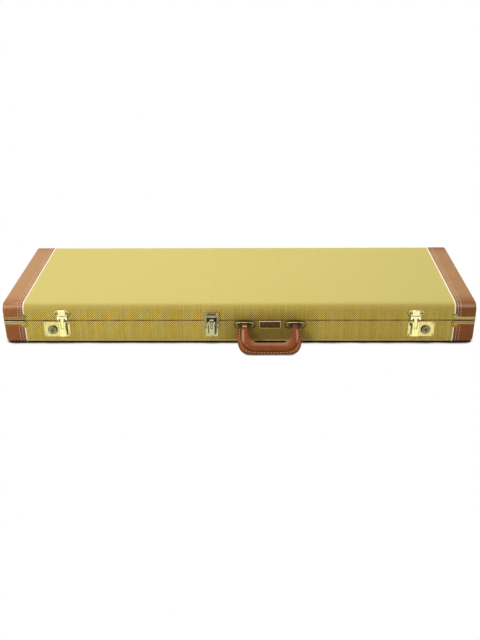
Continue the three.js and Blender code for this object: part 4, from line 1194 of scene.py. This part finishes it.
# %% Hinges and glides
hinge_x, glide_x, glide_height = 380, 440, {"base": 30, "lid": 68}
for place, x in (("left", -hinge_x), ("middle", 0), ("right", hinge_x)):
    for half, body in bodies.items():
        node, mirror = f"hinge_{place}_{half}_leaf", 0 if half == "base" else 2 * seam
        dress(node, body, "rail_brass", 0.3, latch_brass)
        spots = [(x + dx, back_y + 1.5, abs(mirror - z)) for dx, z in ((-22, 38), (0, 43), (22, 38))]
        heads(f"{node}_screws", screw, 2.5, spots, brown_brass, 11, body, "rail_brass", (0, 1, 0))
foot = [(8.8, 0.2), (9, 0.6), (9, 1.4), (8.3, 1.9), (7.2, 2.3), (6.3, 3.4), (5.5, 5.2), (4.6, 7), (3.5, 8.1),
        (2.1, 8.5), (0.7, 8.6)]
for side_name, side, half, body in quarters:
    node, place = f"{half}_glide_{side_name}", (side * glide_x, back_y, glide_height[half])
    settle(turned_piece(f"{node}_foot", foot, place, nickel, 40, 40, back_basis), body, "nickel", node)
print("hinges and glides made:", 7)

# %% [markdown]
# Inside, everything is covered in plush. Boards keep their flat shape under the cloth, with rolled edges.

# %% Plush over boards
for node, body, roll, finish in (("base_lining", "case_base", 1, plush), ("lid_lining", "lid", 1, plush_lid),
                                 ("compartment_walls", "case_base", 1.6, plush),
                                 ("compartment_flap", "compartment_flap", 1.2, plush)):
    dress(node, body, "plush", roll, finish, 3)
dress("compartment_tab", "compartment_flap", "leather", 0.4, tab_leather)
print("boards covered:", 4)

# %% [markdown]
# A stuffed pad starts as rings of a rounded box that shrink over the top. The cloth solver then blows it up, as
# stuffing does, and each point is held to two millimetres of where it started.

# %% Stuffed pads
def pad_form(name, node, finish, corner, crown_height, roll, drawn):
    lo, hi = (Vector(c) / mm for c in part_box(node))
    middle, half_size = (lo + hi) / 2, (hi - lo) / 2
    least = min(half_size.x, half_size.y)
    levels = [(roll * 0.8, lo.z + 0.2), (roll * 0.25, lo.z + roll * 0.3), (0, lo.z + roll),
              (drawn, (lo.z + hi.z) / 2), (0, hi.z - roll), (roll * 0.25, hi.z - roll * 0.3), (roll, hi.z)]
    levels += [(roll + s * (least - roll), hi.z + crown_height * math.sin(s * math.pi / 2))
               for s in (0.08, 0.2, 0.4, 0.6, 0.8, 0.93)]
    rings = []
    for inset, z in levels:
        line = rounded_box(half_size.x - 0.4 - inset, half_size.y - 0.4 - inset,
                           max(min(corner, least - inset - 0.5), 0.5), 8)
        rings.append([(middle.x + a, middle.y + b, z) for a, b in line])
    return stack(name, rings, finish, 80)


def stuffed(pad, voxel=5, pressure=4, last_frame=20, cap=2):
    remesh = pad.modifiers.new("voxels", "REMESH")
    remesh.mode, remesh.voxel_size, remesh.use_smooth_shade = "VOXEL", voxel * mm, True
    pad = plain_copy(pad)
    start = np.array([v.co for v in pad.data.vertices])
    cloth = pad.modifiers.new("stuffing", "CLOTH").settings
    cloth.use_pressure, cloth.uniform_pressure_force = True, pressure
    cloth.effector_weights.gravity = 0
    for frame_number in range(1, last_frame + 1):
        scene.frame_set(frame_number)
        bpy.context.view_layer.update()
    blown = plain_copy(pad)
    scene.frame_set(1)
    moved = np.array([v.co for v in blown.data.vertices]) - start
    reach = np.linalg.norm(moved, axis=1, keepdims=True)
    kept = start + moved * np.minimum(1, cap * mm / np.maximum(reach, 1e-9))
    kept[:, 2] = np.maximum(kept[:, 2], start[:, 2].min())
    blown.data.vertices.foreach_set("co", kept.ravel())
    smooth = blown.modifiers.new("smooth", "SUBSURF")
    smooth.levels = smooth.render_levels = 1
    result = plain_copy(blown)
    for face in result.data.polygons:
        face.use_smooth = True
    return result


for node, corner, crown_height in (("front_block", 9, 1), ("waist_pad_front", 8, 0.8),
                                   ("waist_pad_back", 8, 0.8)):
    pad = pad_form(f"{node}_stuffed", node, plush, corner, crown_height, 5, 1.2)
    pad = stuffed(pad)
    settle(pad, "case_base", "plush", node)
dress("neck_rest", "case_base", "plush", 3, plush, 4)
for node, body, finish, crown_height in (("floor_pad", "case_base", plush, 0.5), ("lid_pad", "lid", plush_lid, 0.3)):
    pad = pad_form(f"{node}_stuffed", node, finish, 6, crown_height, 1.6, 0.2)
    settle(pad, body, "plush", node)
print("pads made:", 6)

# %% [markdown]
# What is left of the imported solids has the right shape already, such as pins, and only takes a better finish.

# %% Finish of the solids that stay
finishes = {"tweed_on_plywood": tweed, "leather": tab_leather, "piping": piping_vinyl, "rail_brass": rail_brass,
            "latch_brass": latch_brass, "nickel": grey_nickel, "aged_brass": aged_brass, "badge": enamel,
            "plush": plush}
for solid in nodes.values():
    for place in solid.material_slots:
        place.material = finishes[place.material.name]
print("solids finished:", len(nodes))

# %% [markdown]
# The camera sees floor and backdrop as pure white, but for the shadow of the case, through the Light Path node:
# it lights nothing, so the case itself isn't bleached. By the case the floor's colour is painted near-black, a
# painted contact shadow.

# %% Floor, backdrop and light
def seen_directly(paint):
    camera_ray, glossy, through = (paint.node("LightPath", out=f"Is {ray} Ray")
                                   for ray in ("Camera", "Glossy", "Transmission"))
    return paint.sum("MINIMUM", camera_ray + glossy + through, 1)


def studio_floor(reach=6000, top=-0.15):
    rings = [[(x * reach, y * reach, top - d) for x, y in ((-1, -1), (1, -1), (1, 1), (-1, 1))] for d in (20, 0)]
    pale = Paint("pale floor", Roughness=0.9)
    # painted contact shadow: ambient occlusion with noise darkens the floor's colour by the case, fainter further in
    # front
    gap = pale.node("AmbientOcclusion", {"Distance": 0.022}, 1, samples=16)
    gap = gap + pale.noise(22, 3) * 0.16 - 0.08
    gap = gap + pale.fade(pale.split(pale.place)[1], -0.212, -0.186, 0.22)
    floor_colour = pale.mix(pale.noise(3), (0.8, 0.8, 0.79), (0.84, 0.84, 0.83))
    pale.into("Base Color", pale.mix(pale.between(gap, 0.42, 0.66), (0.012, 0.01, 0.01), floor_colour))
    glow = pale.node("Emission", {"Color": (1, 1, 1, 1)})
    out = pale.node("MixShader", {
        0: seen_directly(pale) * pale.between(gap, 0.44, 0.72), 1: Wire(pale, pale.shader.outputs[0]), 2: glow})
    pale.tree.links.new(out.socket, pale.tree.nodes["Material Output"].inputs["Surface"])
    stack("floor", rings, pale.material)


def lamp(name, place, aim, size, power):
    light = placed(name, bpy.data.lights.new(name, "AREA"))
    light.data.shape, light.data.size, light.data.energy = "DISK", size, power
    light.location = place
    light.rotation_euler = (Vector(aim) - Vector(place)).to_track_quat("-Z", "Y").to_euler()


studio_floor()
lamp("overhead", (-0.3, 0.5, 2.3), (0, 0.05, 0), 1.8, 41)
lamp("front left", (-1.45, -1.75, 1.25), (-0.1, -0.1, 0.03), 0.5, 17)

sky = Paint("studio", bpy.data.worlds.new("studio"))
scene.world = sky.material
soft = sky.node("Background", {"Color": (0.97, 0.98, 1, 1), "Strength": 0.34})
white = sky.node("Background", {"Color": (1, 1, 1, 1)})
mixed = sky.node("MixShader", {0: seen_directly(sky), 1: soft, 2: white})
sky.tree.links.new(mixed.socket, sky.tree.nodes["World Output"].inputs["Surface"])
scene.view_settings.view_transform = "Standard"
print("studio ready")

# %% [markdown]
# The last cell removes the hidden screw and rivet heads that the fastener tree copied.

# %% Removing the heads
for head in (screw, rivet):
    bpy.data.objects.remove(head)
